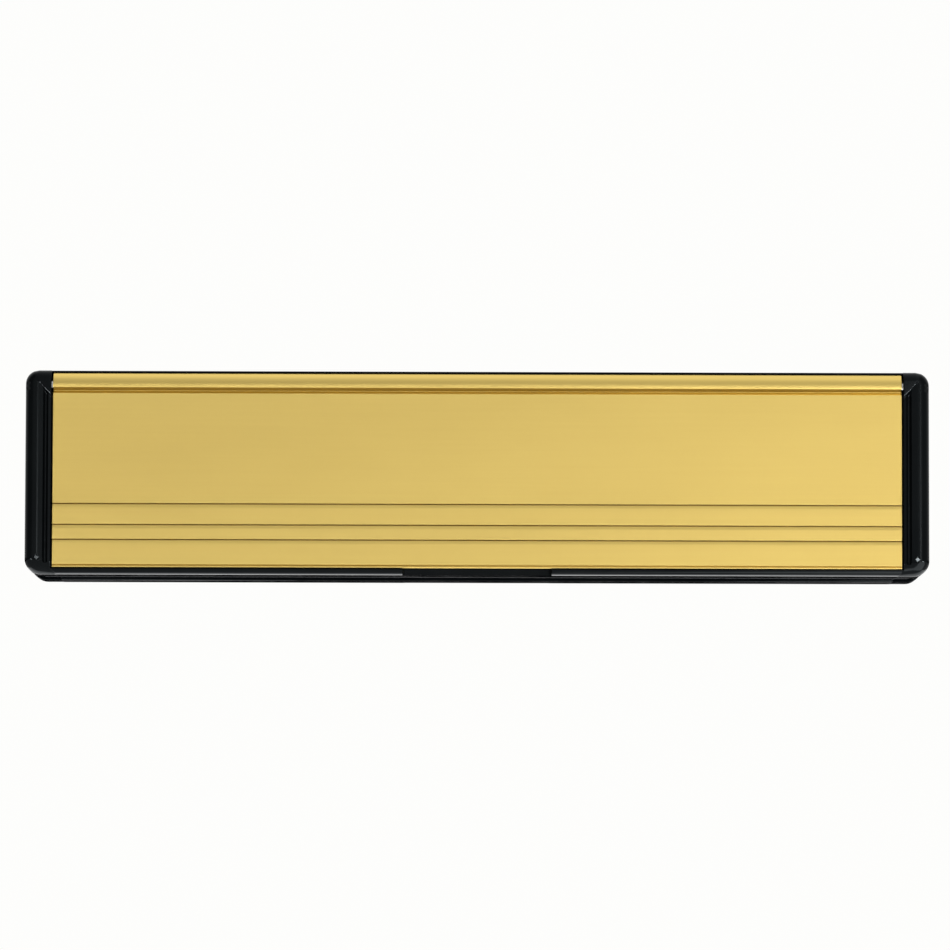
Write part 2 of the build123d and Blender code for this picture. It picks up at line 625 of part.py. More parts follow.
with BuildPart() as outer_gasket:
    with BuildSketch(facing(0)):
        RectangleRounded(PLATE_LENGTH - 2 * GASKET_INSET, PLATE_HEIGHT - 2 * GASKET_INSET, GASKET_CORNER)
        RectangleRounded(
            2 * GASKET_OPENING_HALF[0],
            2 * GASKET_OPENING_HALF[1],
            GASKET_OPENING_CORNER,
            mode=Mode.SUBTRACT,
        )
        with Locations(*FIXING_PLACES):
            Circle(GASKET_PILLAR_HOLE_RADIUS, mode=Mode.SUBTRACT)
    extrude(amount=GASKET_THICKNESS)

# ---------------------------------------------------------------- screws, inserts and washers
with BuildPart() as outer_frame_screws:
    turned(
        FRAME_SCREW_PLACES,
        [
            (FRAME_REAR_Y, 0),
            (FRAME_REAR_Y, FRAME_SCREW_HEAD_RADIUS),
            (FRAME_REAR_Y - FRAME_SCREW_HEAD_HEIGHT, FRAME_SCREW_RADIUS),
            (FRAME_REAR_Y - FRAME_SCREW_LENGTH + FRAME_SCREW_RADIUS, FRAME_SCREW_RADIUS),
            (FRAME_REAR_Y - FRAME_SCREW_LENGTH, 0),
        ],
    )

with BuildPart() as threaded_inserts:
    with BuildSketch(facing(PILLAR_TIP_Y)):
        with Locations(*FIXING_PLACES):
            Circle(INSERT_RADIUS)
            Circle(INSERT_BORE_RADIUS, mode=Mode.SUBTRACT)
    extrude(amount=INSERT_LENGTH)

# The fixing screws and their washers sit in the inner unit, under the ends of its flap.
washer_y = DOOR_GAP - (CHASSIS_FRONT_Y - SCREW_BOSS_HEIGHT)
head_y = washer_y + WASHER_THICKNESS
with BuildPart() as fixing_screws:
    turned(
        FIXING_PLACES,
        [
            (FIXING_TIP_Y, 0),
            (FIXING_TIP_Y, FIXING_SHANK_RADIUS - FIXING_TIP_CHAMFER),
            (FIXING_TIP_Y + FIXING_TIP_CHAMFER, FIXING_SHANK_RADIUS),
            (head_y, FIXING_SHANK_RADIUS),
            (head_y, HEAD_RADIUS),
            *[(head_y + HEAD_HEIGHT * up, HEAD_RADIUS * out) for up, out in HEAD_DOME],
        ],
    )
    with BuildSketch(facing(head_y + HEAD_HEIGHT)):
        with Locations(*FIXING_PLACES):
            Rectangle(RECESS_LENGTH, RECESS_WIDTH)
            Rectangle(RECESS_WIDTH, RECESS_LENGTH)
    extrude(amount=RECESS_DEPTH, mode=Mode.SUBTRACT)

with BuildPart() as fixing_washers:
    turned(
        FIXING_PLACES,
        [
            (washer_y, PILLAR_BORE_RADIUS),
            (washer_y, WASHER_RADIUS),
            (head_y, WASHER_RADIUS),
            (head_y, PILLAR_BORE_RADIUS),
        ],
    )

# ---------------------------------------------------------------- export
block_left = copied(block_right, Plane.YZ)
outer_pieces = {
    "end_block_right": block_right,
    "end_block_left": block_left,
    "top_rail": outer_top_rail,
    "bottom_rail": outer_bottom_rail,
    "gasket": outer_gasket,
    "hinge_rod": outer_hinge_rod,
    "rod_plugs": outer_rod_plugs,
    "springs": outer_springs,
    "pile_seal": outer_pile_seal,
    "frame_screws": outer_frame_screws,
    "flap": outer_flap,
    "flap_bushes": outer_flap_bushes,
    "flap_seal": outer_flap_seal,
}
for piece_name, outer_piece in outer_pieces.items():
    export(outer_piece, f"outer_{piece_name}")
    export(copied(outer_piece, MIDDLE_OF_DOOR), f"inner_{piece_name}")

export(outer_chassis, "outer_chassis")
export(inner_chassis, "inner_chassis")
export(outer_sleeve, "outer_sleeve")
export(inner_sleeve, "inner_sleeve")
export(threaded_inserts, "threaded_inserts")
export(fixing_screws, "fixing_screws")
export(fixing_washers, "fixing_washers")
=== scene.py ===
"""Letter plate: the detailed model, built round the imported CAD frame.

Shapes are drawn in millimetres for the outer unit (-Y) and mirrored for the inner unit.
"""

import json
import math
import random

import bmesh
import bpy
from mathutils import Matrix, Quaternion, Vector

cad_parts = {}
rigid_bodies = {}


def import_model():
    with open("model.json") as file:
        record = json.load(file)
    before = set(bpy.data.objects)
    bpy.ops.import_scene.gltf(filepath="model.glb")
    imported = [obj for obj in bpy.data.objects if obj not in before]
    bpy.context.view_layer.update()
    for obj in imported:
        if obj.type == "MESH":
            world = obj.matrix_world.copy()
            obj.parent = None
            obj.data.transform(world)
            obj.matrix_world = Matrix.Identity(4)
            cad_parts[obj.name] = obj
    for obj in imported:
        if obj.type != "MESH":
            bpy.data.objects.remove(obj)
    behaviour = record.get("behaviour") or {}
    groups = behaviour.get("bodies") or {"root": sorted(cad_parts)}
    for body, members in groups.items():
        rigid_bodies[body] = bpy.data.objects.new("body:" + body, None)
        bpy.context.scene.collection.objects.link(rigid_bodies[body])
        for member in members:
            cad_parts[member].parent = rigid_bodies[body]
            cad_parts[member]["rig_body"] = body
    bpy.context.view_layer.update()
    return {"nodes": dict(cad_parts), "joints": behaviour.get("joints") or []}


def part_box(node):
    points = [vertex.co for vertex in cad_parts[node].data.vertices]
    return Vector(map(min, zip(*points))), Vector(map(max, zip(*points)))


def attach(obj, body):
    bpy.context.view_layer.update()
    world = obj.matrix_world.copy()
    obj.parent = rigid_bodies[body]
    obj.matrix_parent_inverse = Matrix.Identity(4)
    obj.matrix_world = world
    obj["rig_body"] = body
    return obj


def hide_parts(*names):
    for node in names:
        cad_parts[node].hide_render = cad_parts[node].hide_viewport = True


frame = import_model()

MM = 0.001


def corners_mm(node):
    """Lowest and highest corner of a CAD node, in millimetres."""
    lo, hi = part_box(node)
    return lo / MM, hi / MM


# -------- sizes, in millimetres
BLOCK_LO, BLOCK_HI = corners_mm("outer_end_block_right")
FLAP_LO, FLAP_HI = corners_mm("outer_flap")
SEAL_LO, SEAL_HI = corners_mm("outer_flap_seal")
PILE_LO, PILE_HI = corners_mm("outer_pile_seal")
ROD_HALF = corners_mm("outer_hinge_rod")[1].x
CHASSIS_X = corners_mm("outer_chassis")[1].x
GAP = corners_mm("inner_gasket")[0].y  # the door's thickness, between the units' seats

END_X = BLOCK_HI.x
TOP_Z = BLOCK_HI.z
BOTTOM_Z = BLOCK_LO.z
REAR_Y = BLOCK_HI.y
CREST_Y = BLOCK_LO.y
FOOT_RUN = 1.7  # reach of the blocks' mitred feet under the flap
INNER_X = BLOCK_LO.x + FOOT_RUN
HINGE = next(j for j in frame["joints"] if j["name"] == "outer_flap_hinge")
PIVOT = (HINGE["pos_m"][1] / MM, HINGE["pos_m"][2] / MM)  # y and z of the hinge's axis
LAND_Z = 31.0  # half the chassis plate's height

# end blocks: outline and roundings
EDGE_RADIUS = 3.0  # front outer edge
TOP_CORNER = 4.6
BOTTOM_CORNER = 5.4
FOOT_ROUND = 5.2  # height of the rounding at the foot
FOOT_SLACK = 0.09  # share by which the foot's arc is wider than its run
INNER_LIP = 0.2  # rounding of the edge beside the flap
REAR_BEVEL = 0.2
LEDGE_Z = -32.45  # where the mitred foot begins

# end blocks: relief of the front
CREST_X = END_X - 3.8
CREST_ROUND = 0.55  # half the width of the crest's rounding
SLOPE = 0.125  # fall from the crest towards the flap
VALLEY_X = END_X - 7.0
VALLEY_RADIUS = 0.8
VALLEY_Y = CREST_Y + 0.576
VALLEY_END_Z = -29.9
VALLEY_EASE = 0.12
BOSS_EDGE_X = END_X - 6.5  # the boss's 45 degree lower edge passes through this x and z
BOSS_EDGE_Z = 28.3
BOSS_EDGE_SHIFT = 0.25
BOSS_EDGE_EASE = 0.05
BEVEL_WIDTH = 0.32  # bevel along the boss's edge, fading out towards the crest
BEVEL_SLOPE = 0.283
BEVEL_END_X = END_X - 5.8
BEVEL_FADE = 0.5
FLANK_SLOPE = 1.6  # the flank below the bevel, steeper where the bevel has faded out
FLANK_STEEPENING = 10

# end blocks: marks, and holes for the rod and its plug
MARK = (END_X - 4.1, -28.9)
MARK_HALF = 1.0
MARK_DEPTH = 0.13
MARK_TILT = 0.2
HINGE_MARK_Z = 29.1
HINGE_MARK_RADIUS = 1.5
HINGE_MARK_DEPTH = 0.26
REBATE_Y = -4.0
PLUG_X = ROD_HALF + 0.1
SOCKET_RADIUS = 1.9
ROD_HOLE_RADIUS = 1.52
ROD_RADIUS = 1.5

# flap
BEAD_RADIUS = 4.05
CHANNEL_RADIUS = 2.6
MOUTH_ANGLE = 60  # degrees round the axis from +Y, where the channel opens
LIP_ANGLE = 194  # where the bead's round ends, over the undercut
UNDERCUT_APEX = (-12.3, 27.6)
UNDERCUT_FOOT_Z = 26.7
FRONT_Y = -13.6
BACK_Y = FRONT_Y + 1.8
GROOVE_TOPS_Z = (-10.15, -17.21, -22.24)
# corners of a groove: depth, drop below its top, rounding
GROOVE = ((0.0, 0.34, 0.05), (1.0, 0.53, 0.03), (0.11, 0.74, 0.05), (0.0, 1.75, 0.3))
DRIP_Z = -31.4
DRIP_HALF = 0.27
DRIP_DEPTH = 0.45
LOBE_RADIUS = 0.36
LOBE_INSET = 0.22
LOBE_SPREAD = 0.66  # lobes' spacing as a share of half the height

# rails
RAIL_FRONT_Y = -10.6
RAIL_BORE = BEAD_RADIUS + 0.25
BOTTOM_RAIL_Y = -13.9
BOTTOM_RAIL_RADIUS = 2.0
NOTCH_BACK_Y = -11.25
NOTCH_HALF = 25.15
NOTCH_CORNER = 1.2
NOTCH_LIP = 0.25

# springs and bushes
BUSHES_X = (-126.0, 0.0, 126.0)
WIRE_RADIUS = 0.33
COIL_RADIUS = 2.0
COIL_TURNS = 10
COIL_END_X = 142.05
LEG_X = 135.15
LEG_START = (PIVOT[0] + 1.946, PIVOT[1] - 0.46)  # y and z
LEG_END = (PIVOT[0] - 1.22, PIVOT[1] - 14.0)
FIXED_LEG_YS = (-9.0, -6.0, -2.6)

# pile seal
PILE_WALL = 1.6
PILE_CORNER = 4.2
BACKING_THICKNESS = 0.22
TUFT_LANES = (0.28, 0.62, 0.96, 1.3)  # from the seal's outer edge
TUFT_SPACING = 0.42
TUFT_WANDER = 0.06
TUFT_LEAN = 0.1
TUFT_TAPER = 0.55

# screws, washers and inserts
WASHER_RADIUS = 4.6
WASHER_BORE = 2.6
FIXING_HEAD_RADIUS = 4.5
FIXING_RIM = 0.9  # height of the head's straight rim
FIXING_DOME = (1.6, 1.9)  # height and width of its dome's rounding
FRAME_SCREWS_X = 146.4
FRAME_SCREWS_Z = 22.0

# -------- outlines
def arc(centre, radius, start, end, steps):
    """Points on an arc in the plane, angles in degrees, both ends included."""
    turns = [math.radians(start + (end - start) * i / steps) for i in range(steps + 1)]
    return [(centre[0] + radius * math.cos(t), centre[1] + radius * math.sin(t)) for t in turns]


def eased(corners, step=15):
    """Closed outline through (u, v, radius) corners, each rounded to its own radius."""
    outline = []
    for i, (u, v, radius) in enumerate(corners):
        if not radius:
            outline.append((u, v))
            continue
        here = Vector((u, v))
        back = (Vector(corners[i - 1][:2]) - here).normalized()
        ahead = (Vector(corners[(i + 1) % len(corners)][:2]) - here).normalized()
        half = back.angle(ahead) / 2
        centre = here + (back + ahead).normalized() * radius / math.sin(half)
        start = here + back * radius / math.tan(half) - centre
        sweep = math.pi - 2 * half
        if back.x * ahead.y - back.y * ahead.x > 0:
            sweep = -sweep
        steps = max(1, round(abs(math.degrees(sweep)) / step))
        first = math.degrees(math.atan2(start.y, start.x))
        outline += arc(centre, radius, first, first + math.degrees(sweep), steps)
    return outline


def inset(outline, distance):
    """The outline moved inwards by a distance."""
    if not distance:
        return list(outline)
    area = sum(a[0] * b[1] - b[0] * a[1] for a, b in zip(outline, outline[1:] + outline[:1]))
    side = 1 if area > 0 else -1
    moved = []
    for i, point in enumerate(outline):
        here = Vector(point)
        into = (here - Vector(outline[i - 1])).normalized()
        away = (Vector(outline[(i + 1) % len(outline)]) - here).normalized()
        first = Vector((-into.y, into.x)) * side
        both = (first + Vector((-away.y, away.x)) * side).normalized()
        moved.append(tuple(here + both * distance / max(0.4, both.dot(first))))
    return moved


def rounded_rectangle(half, radius, step=15):
    """Rectangle about the origin with rounded corners."""
    u, v = half
    return eased([(u, v, radius), (-u, v, radius), (-u, -v, radius), (u, -v, radius)], step)


# -------- solids
def band(first, second, closed=True):
    """Four-sided faces between two rows of vertex numbers."""
    n = len(first)
    return [
        (first[i], first[(i + 1) % n], second[(i + 1) % n], second[i])
        for i in range(n if closed else n - 1)
    ]


def loft(rings, caps=True):
    """Solid through rings of equal numbers of points."""
    n = len(rings[0])
    verts = [p for ring in rings for p in ring]
    faces = []
    for a in range(0, len(verts) - n, n):
        faces += band(range(a, a + n), range(a + n, a + 2 * n))
    if caps:
        faces += [tuple(range(n)), tuple(range(len(verts) - n, len(verts)))]
    return verts, faces


def run_along_x(outline, left, right, ease):
    """Outline in (y, z) run from one X to another, with the edges of both ends eased."""
    ends = ((left, ease), (left + 0.3 * ease, 0.3 * ease), (left + ease, 0))
    ends += ((right - ease, 0), (right - 0.3 * ease, 0.3 * ease), (right, ease))
    return loft([[(x, y, z) for y, z in inset(outline, depth)] for x, depth in ends])


def turned(profile, centre, axis, steps=48):
    """Closed (along, radius) profile turned about a line along X or Y through centre."""
    rings = []
    for i in range(steps + 1):
        t = math.tau * (i % steps) / steps
        ring = []
        for along, radius in profile:
            u, v = radius * math.cos(t), radius * math.sin(t)
            if axis == "x":
                ring.append((centre[0] + along, centre[1] + u, centre[2] + v))
            else:
                ring.append((centre[0] + u, centre[1] + along, centre[2] + v))
        rings.append(ring)
    return loft(rings, caps=False)


def wire(path, radius, sides=10):
    """Round wire along a path of points, with rounded ends."""
    points = [Vector(p) for p in path]
    side = (points[1] - points[0]).orthogonal().normalized()
    rings = []
    last = len(points) - 1
    for i, point in enumerate(points):
        along = (points[min(i + 1, last)] - points[max(i - 1, 0)]).normalized()
        side = (side - along * side.dot(along)).normalized()
        up = along.cross(side)
        sizes = [(0, 1)]
        if i == 0:
            sizes = [(0, 0.45), (0.2, 0.8), (0.6, 1)]
        elif i == last:
            sizes = [(-0.6, 1), (-0.2, 0.8), (0, 0.45)]
        for shift, size in sizes:
            middle = point + along * radius * shift
            rings.append([
                tuple(middle + (side * math.cos(t) + up * math.sin(t)) * radius * size)
                for t in (math.tau * k / sides for k in range(sides))
            ])
    return loft(rings)


def merged(*shapes):
    """Several shapes as one."""
    verts, faces = [], []
    for more_verts, more_faces in shapes:
        base = len(verts)
        verts += more_verts
        faces += [tuple(i + base for i in face) for face in more_faces]
    return verts, faces


def moved(shape, place):
    """The shape with every point sent through place."""
    return [place(*p) for p in shape[0]], shape[1]


def other_end(shape):
    """The shape mirrored to the other end of the plate."""
    return moved(shape, lambda x, y, z: (-x, y, z))


def pair(shape):
    """The shape at both ends of the plate."""
    return merged(shape, other_end(shape))


def for_inner(shape):
    """The outer unit's shape mirrored into the inner unit."""
    return moved(shape, lambda x, y, z: (x, GAP - y, z))


# -------- materials
def add_node(tree, kind, **values):
    """A shader node with some of its inputs set."""
    made = tree.nodes.new(kind)
    for name, value in values.items():
        made.inputs[name.replace("_", " ")].default_value = value
    return made


def ranged(tree, factor, low, high, to_low, to_high, smooth=False):
    """A factor whose range from low to high is sent to another range."""
    made = add_node(
        tree, "ShaderNodeMapRange", From_Min=low, From_Max=high, To_Min=to_low, To_Max=to_high
    )
    if smooth:
        made.interpolation_type = "SMOOTHSTEP"
    tree.links.new(factor, made.inputs["Value"])
    return made.outputs["Result"]


def colour_ramp(tree, factor, stops):
    """A factor's colour, through (position, colour) stops."""
    ramp = add_node(tree, "ShaderNodeValToRGB")
    elements = ramp.color_ramp.elements
    for i, (position, rgb) in enumerate(stops):
        stop = elements[i] if i < 2 else elements.new(position)
        stop.position = position
        stop.color = (*rgb, 1)
    tree.links.new(factor, ramp.inputs["Fac"])
    return ramp.outputs["Color"]


class Finish:
    """A Principled material with procedural textures in object space, in metres."""

    def __init__(self, slot, **constants):
        self.material = bpy.data.materials.new(slot + "_finish")
        self.material.use_nodes = True
        self.tree = self.material.node_tree
        self.shader = self.tree.nodes["Principled BSDF"]
        for name, value in constants.items():
            self.shader.inputs[name.replace("_", " ")].default_value = value

    def node(self, kind, **values):
        return add_node(self.tree, kind, **values)

    def link(self, source, target):
        self.tree.links.new(source, target)

    def noise(self, size, stretch=(1, 1, 1), detail=2.0, kind="ShaderNodeTexNoise"):
        """Texture whose features are about size metres, stretched along each axis."""
        coordinates = self.node("ShaderNodeTexCoord")
        scale = self.node("ShaderNodeMapping", Scale=[1 / (size * s) for s in stretch])
        texture = self.node(kind, Scale=1.0)
        if kind == "ShaderNodeTexNoise":
            texture.inputs["Detail"].default_value = detail
        self.link(coordinates.outputs["Object"], scale.inputs["Vector"])
        self.link(scale.outputs["Vector"], texture.inputs["Vector"])
        return texture.outputs[0]

    def blend(self, first, second, share):
        """Two factors mixed: share of the second."""
        mix = self.node("ShaderNodeMix")
        mix.inputs["Factor"].default_value = share
        self.link(first, mix.inputs["A"])
        self.link(second, mix.inputs["B"])
        return mix.outputs["Result"]

    def colour(self, factor, *stops):
        """Base colour from a factor, through (position, colour) stops."""
        self.link(colour_ramp(self.tree, factor, stops), self.shader.inputs["Base Color"])

    def roughness(self, factor, low, high):
        """Roughness from a factor's middle range."""
        self.link(ranged(self.tree, factor, 0.3, 0.7, low, high), self.shader.inputs["Roughness"])

    def relief(self, *layers):
        """Bump from (factor, height in metres) layers."""
        below = None
        for factor, height in layers:
            bump = self.node("ShaderNodeBump", Strength=1.0, Distance=height)
            self.link(factor, bump.inputs["Height"])
            if below:
                self.link(below, bump.inputs["Normal"])
            below = bump.outputs["Normal"]
        self.link(below, self.shader.inputs["Normal"])


def gold_anodised():
    f = Finish("gold_anodised", Metallic=1.0, Specular_Tint=(1.0, 0.9, 0.65, 1.0))
    drawn = f.noise(0.0007, (60, 1, 1), 3)
    etched = f.noise(0.00022, detail=2)
    patches = f.noise(0.03, (2.5, 1, 1), 3)
    f.colour(
        f.blend(patches, drawn, 0.35),
        (0.30, (0.465, 0.34, 0.097)),
        (0.72, (0.495, 0.365, 0.106)),
    )
    f.roughness(f.blend(drawn, etched, 0.4), 0.3, 0.4)
    f.relief((drawn, 0.0000012), (etched, 0.0000016))
    return f.material


def black_gloss():
    f = Finish("black_gloss", Specular_IOR_Level=0.08, Specular_Tint=(0.9, 1.0, 1.04, 1.0))
    peel = f.noise(0.0016, detail=1)
    smears = f.noise(0.012, (1, 1, 2.2), 4)
    f.colour(smears, (0.3, (0.0008, 0.0011, 0.0013)), (0.75, (0.0016, 0.002, 0.0022)))
    f.roughness(smears, 0.08, 0.15)
    f.relief((peel, 0.0000016))
    return f.material


def black_moulding():
    f = Finish("black_moulding", Specular_IOR_Level=0.45)
    grain = f.noise(0.00035, detail=3)
    flow = f.noise(0.02, (3, 1, 1), 3)
    f.colour(f.blend(flow, grain, 0.4), (0.3, (0.012, 0.0125, 0.013)), (0.75, (0.022, 0.023, 0.024)))
    f.roughness(f.blend(grain, flow, 0.5), 0.42, 0.62)
    f.relief((grain, 0.000012))
    return f.material


def foam():
    f = Finish("foam", Specular_IOR_Level=0.2)
    cells = f.noise(0.0005, kind="ShaderNodeTexVoronoi")
    patches = f.noise(0.004, detail=3)
    f.colour(f.blend(cells, patches, 0.5), (0.15, (0.012, 0.012, 0.013)), (0.7, (0.035, 0.035, 0.037)))
    f.roughness(patches, 0.85, 0.98)
    f.relief((cells, 0.00012))
    return f.material


def drawn_steel(slot, colour, along, rough):
    """Drawn bar or wire: fine scratches along its length."""
    f = Finish(slot, Metallic=1.0)
    scratches = f.noise(0.00012, along, 3)
    stain = f.noise(0.006, detail=3)
    darker = tuple(c * 0.8 for c in colour)
    f.colour(f.blend(stain, scratches, 0.5), (0.3, darker), (0.7, colour))
    f.roughness(f.blend(scratches, stain, 0.3), rough, rough + 0.14)
    f.relief((scratches, 0.0000025))
    return f.material


def zinc_steel():
    f = Finish("zinc_steel", Metallic=1.0)
    spangle = f.noise(0.0009, kind="ShaderNodeTexVoronoi")
    haze = f.noise(0.003, detail=4)
    f.colour(
        f.blend(spangle, haze, 0.6),
        (0.25, (0.42, 0.46, 0.50)),
        (0.5, (0.56, 0.60, 0.62)),
        (0.75, (0.62, 0.62, 0.56)),
    )
    f.roughness(haze, 0.22, 0.38)
    f.relief((haze, 0.000004))
    return f.material


def brass():
    f = Finish("brass", Metallic=1.0)
    turning = f.noise(0.00015, (6, 1, 6), 2)
    tarnish = f.noise(0.002, detail=4)
    f.colour(f.blend(tarnish, turning, 0.35), (0.3, (0.55, 0.36, 0.12)), (0.7, (0.78, 0.58, 0.26)))
    f.roughness(tarnish, 0.24, 0.42)
    f.relief((turning, 0.000004))
    return f.material


def pile():
    f = Finish("pile", Specular_IOR_Level=0.15, Sheen_Weight=0.5, Sheen_Roughness=0.45)
    fibres = f.noise(0.00016, (1, 4, 1), 3)
    tufts = f.noise(0.0018, detail=2)
    f.colour(f.blend(fibres, tufts, 0.5), (0.3, (0.02, 0.02, 0.022)), (0.7, (0.085, 0.085, 0.09)))
    f.roughness(fibres, 0.8, 0.98)
    f.relief((fibres, 0.00003))
    return f.material


def nylon():
    f = Finish("nylon", Subsurface_Weight=0.25, Subsurface_Scale=0.002)
    clouds = f.noise(0.003, detail=4)
    marks = f.noise(0.0003, detail=2)
    f.colour(f.blend(clouds, marks, 0.3), (0.3, (0.62, 0.60, 0.52)), (0.7, (0.80, 0.79, 0.72)))
    f.roughness(f.blend(marks, clouds, 0.5), 0.38, 0.55)
    f.relief((marks, 0.000006))
    return f.material


def seal_rubber():
    f = Finish("seal_rubber", Specular_IOR_Level=0.3)
    bloom = f.noise(0.007, (6, 1, 1), 4)
    grain = f.noise(0.0002, detail=2)
    f.colour(f.blend(bloom, grain, 0.3), (0.3, (0.010, 0.010, 0.011)), (0.75, (0.030, 0.030, 0.031)))
    f.roughness(bloom, 0.55, 0.8)
    f.relief((grain, 0.00001))
    return f.material


MATERIALS = {
    "gold_anodised": gold_anodised(),
    "black_gloss": black_gloss(),
    "black_moulding": black_moulding(),
    "foam": foam(),
    "stainless": drawn_steel("stainless", (0.60, 0.60, 0.59), (60, 1, 1), 0.18),
    "spring_steel": drawn_steel("spring_steel", (0.46, 0.45, 0.43), (3, 3, 3), 0.24),
    "zinc_steel": zinc_steel(),
    "brass": brass(),
    "pile": pile(),
    "nylon": nylon(),
    "seal_rubber": seal_rubber(),
}
SLOT_OF = {n: o.data.materials[0].name for n, o in frame["nodes"].items()}


# -------- pieces
def new_object(name, data):
    """An object in the scene."""
    made = bpy.data.objects.new(name, data)
    bpy.context.scene.collection.objects.link(made)
    return made


def placed(name, mesh, body, slot, nodes, sharp, weighted=True):
    """A finished mesh as a piece: smooth, in its material, riding on its body."""
    mesh.polygons.foreach_set("use_smooth", [True] * len(mesh.polygons))
    mesh.set_sharp_from_angle(angle=math.radians(sharp))
    mesh.materials.clear()
    mesh.materials.append(MATERIALS[slot])
    thing = new_object(name, mesh)
    if weighted:
        flat = thing.modifiers.new("even_faces", "WEIGHTED_NORMAL")
        flat.keep_sharp = True
    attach(thing, body)
    if nodes:
        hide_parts(*nodes)


def mesh_of(name, shape):
    """Closed mesh in metres from a shape in millimetres."""
    mesh = bpy.data.meshes.new(name)
    verts, faces = shape
    mesh.from_pydata([Vector(v) * MM for v in verts], [], faces)
    work = bmesh.new()
    work.from_mesh(mesh)
    bmesh.ops.remove_doubles(work, verts=work.verts, dist=1e-7)
    bmesh.ops.recalc_face_normals(work, faces=work.faces)
    work.to_mesh(mesh)
    work.free()
    return mesh


def cut(mesh, cutter):
    """The mesh with the cutter's closed solids taken away."""
    body = new_object("to_cut", mesh)
    tool = new_object("cutter", mesh_of("cutter", cutter))
    taken = body.modifiers.new("cut", "BOOLEAN")
    taken.operation = "DIFFERENCE"
    taken.solver = "EXACT"
    taken.object = tool
    bpy.context.view_layer.update()
    result = bpy.data.meshes.new_from_object(
        body.evaluated_get(bpy.context.evaluated_depsgraph_get())
    )
    for thing in (body, tool):
        bpy.data.objects.remove(thing)
    return result


def in_both_units(name, shape, member, slot, node=None, cutter=None, sharp=32, weighted=True):
    """The same piece in the outer unit and, mirrored, in the inner unit."""
    for unit in ("outer", "inner"):
        own, tool = shape, cutter
        if unit == "inner":
            own = for_inner(shape)
            tool = for_inner(cutter) if cutter else None
        mesh = mesh_of(name, own)
        if tool:
            mesh = cut(mesh, tool)
        nodes = [f"{unit}_{node}"] if node else []
        placed(f"{unit}_{name}", mesh, f"{unit}_{member}", slot, nodes, sharp, weighted)


def finished(node, ease, smallest, sharp=32):
    """A CAD node's shape with its long sharp edges eased, in place of the node."""
    source = frame["nodes"][node]
    work = bmesh.new()
    work.from_mesh(source.data)
    bmesh.ops.remove_doubles(work, verts=work.verts, dist=1e-6)
    bmesh.ops.dissolve_limit(work, angle_limit=math.radians(0.5), verts=work.verts, edges=work.edges)
    edges = [
        e
        for e in work.edges
        if len(e.link_faces) == 2
        and e.calc_face_angle(0) > math.radians(50)
        and e.calc_length() > smallest * MM
    ]
    bmesh.ops.bevel(
        work, geom=edges, offset=ease * MM, segments=2, profile=0.5, affect="EDGES", clamp_overlap=True
    )
    mesh = bpy.data.meshes.new(node + "_eased")
    work.to_mesh(mesh)
    work.free()
    placed(node + "_eased", mesh, source["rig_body"], SLOT_OF[node], [node], sharp)


# -------- flap
def flap_outline():
    """Section of the flap extrusion: bead, channel, undercut, grooves and drip line."""
    lip = math.radians(LIP_ANGLE)
    outline = arc(PIVOT, BEAD_RADIUS, MOUTH_ANGLE, LIP_ANGLE - 6, 44)
    panel = [
        (*arc(PIVOT, BEAD_RADIUS, LIP_ANGLE - 3, LIP_ANGLE, 1)[0], 0),
        (PIVOT[0] + BEAD_RADIUS * math.cos(lip), PIVOT[1] + BEAD_RADIUS * math.sin(lip), 0.08),
        (*UNDERCUT_APEX, 0.2),
        (FRONT_Y, UNDERCUT_FOOT_Z, 0.1),
    ]
    for z in GROOVE_TOPS_Z:
        panel += [(FRONT_Y + depth, z - drop, radius) for depth, drop, radius in GROOVE]
    panel += [
        (FRONT_Y, DRIP_Z + DRIP_HALF, 0.08),
        (FRONT_Y + DRIP_DEPTH, DRIP_Z, 0.05),
        (FRONT_Y, DRIP_Z - DRIP_HALF, 0.08),
        (FRONT_Y, FLAP_LO.z, 0.22),
        (BACK_Y, FLAP_LO.z, 0.25),
        (BACK_Y, 0, 0),
    ]
    outline += eased(panel)
    back = math.degrees(math.acos((BACK_Y - PIVOT[0]) / BEAD_RADIUS))
    channel_end = 268
    outline += arc(PIVOT, BEAD_RADIUS, 360 - back, channel_end, 4)
    outline += arc(PIVOT, CHANNEL_RADIUS, channel_end, MOUTH_ANGLE + 2, 40)
    return outline


def bumper_outline():
    """Section of the bumper seal: a strip with three round lobes, brought to the CAD's depth."""
    middle = (SEAL_LO.z + SEAL_HI.z) / 2
    half = (SEAL_HI.z - SEAL_LO.z) / 2
    outline = [(BACK_Y, middle - half)]
    for lobe in (-1, 0, 1):
        centre = (BACK_Y + LOBE_INSET, middle + lobe * half * LOBE_SPREAD)
        outline += arc(centre, LOBE_RADIUS, -70, 70, 8)
    outline.append((BACK_Y, middle + half))
    reach = max(y for y, z in outline)
    return [(BACK_Y + (y - BACK_Y) * (SEAL_HI.y - BACK_Y) / (reach - BACK_Y), z) for y, z in outline]


in_both_units(
    "flap_extrusion",
    run_along_x(flap_outline(), FLAP_LO.x, FLAP_HI.x, 0.25),
    "flap", "gold_anodised", "flap", sharp=38,
)
in_both_units(
    "flap_bumper",
    run_along_x(bumper_outline(), SEAL_LO.x, SEAL_HI.x, 0.1),
    "flap", "seal_rubber", "flap_seal", sharp=50,
)

# -------- end blocks
def smooth_max(a, b, soft):
    """The greater of two numbers, with the crossing rounded over a distance."""
    if abs(a - b) >= soft:
        return max(a, b)
    return max(a, b) + (soft - abs(a - b)) ** 2 / (4 * soft)


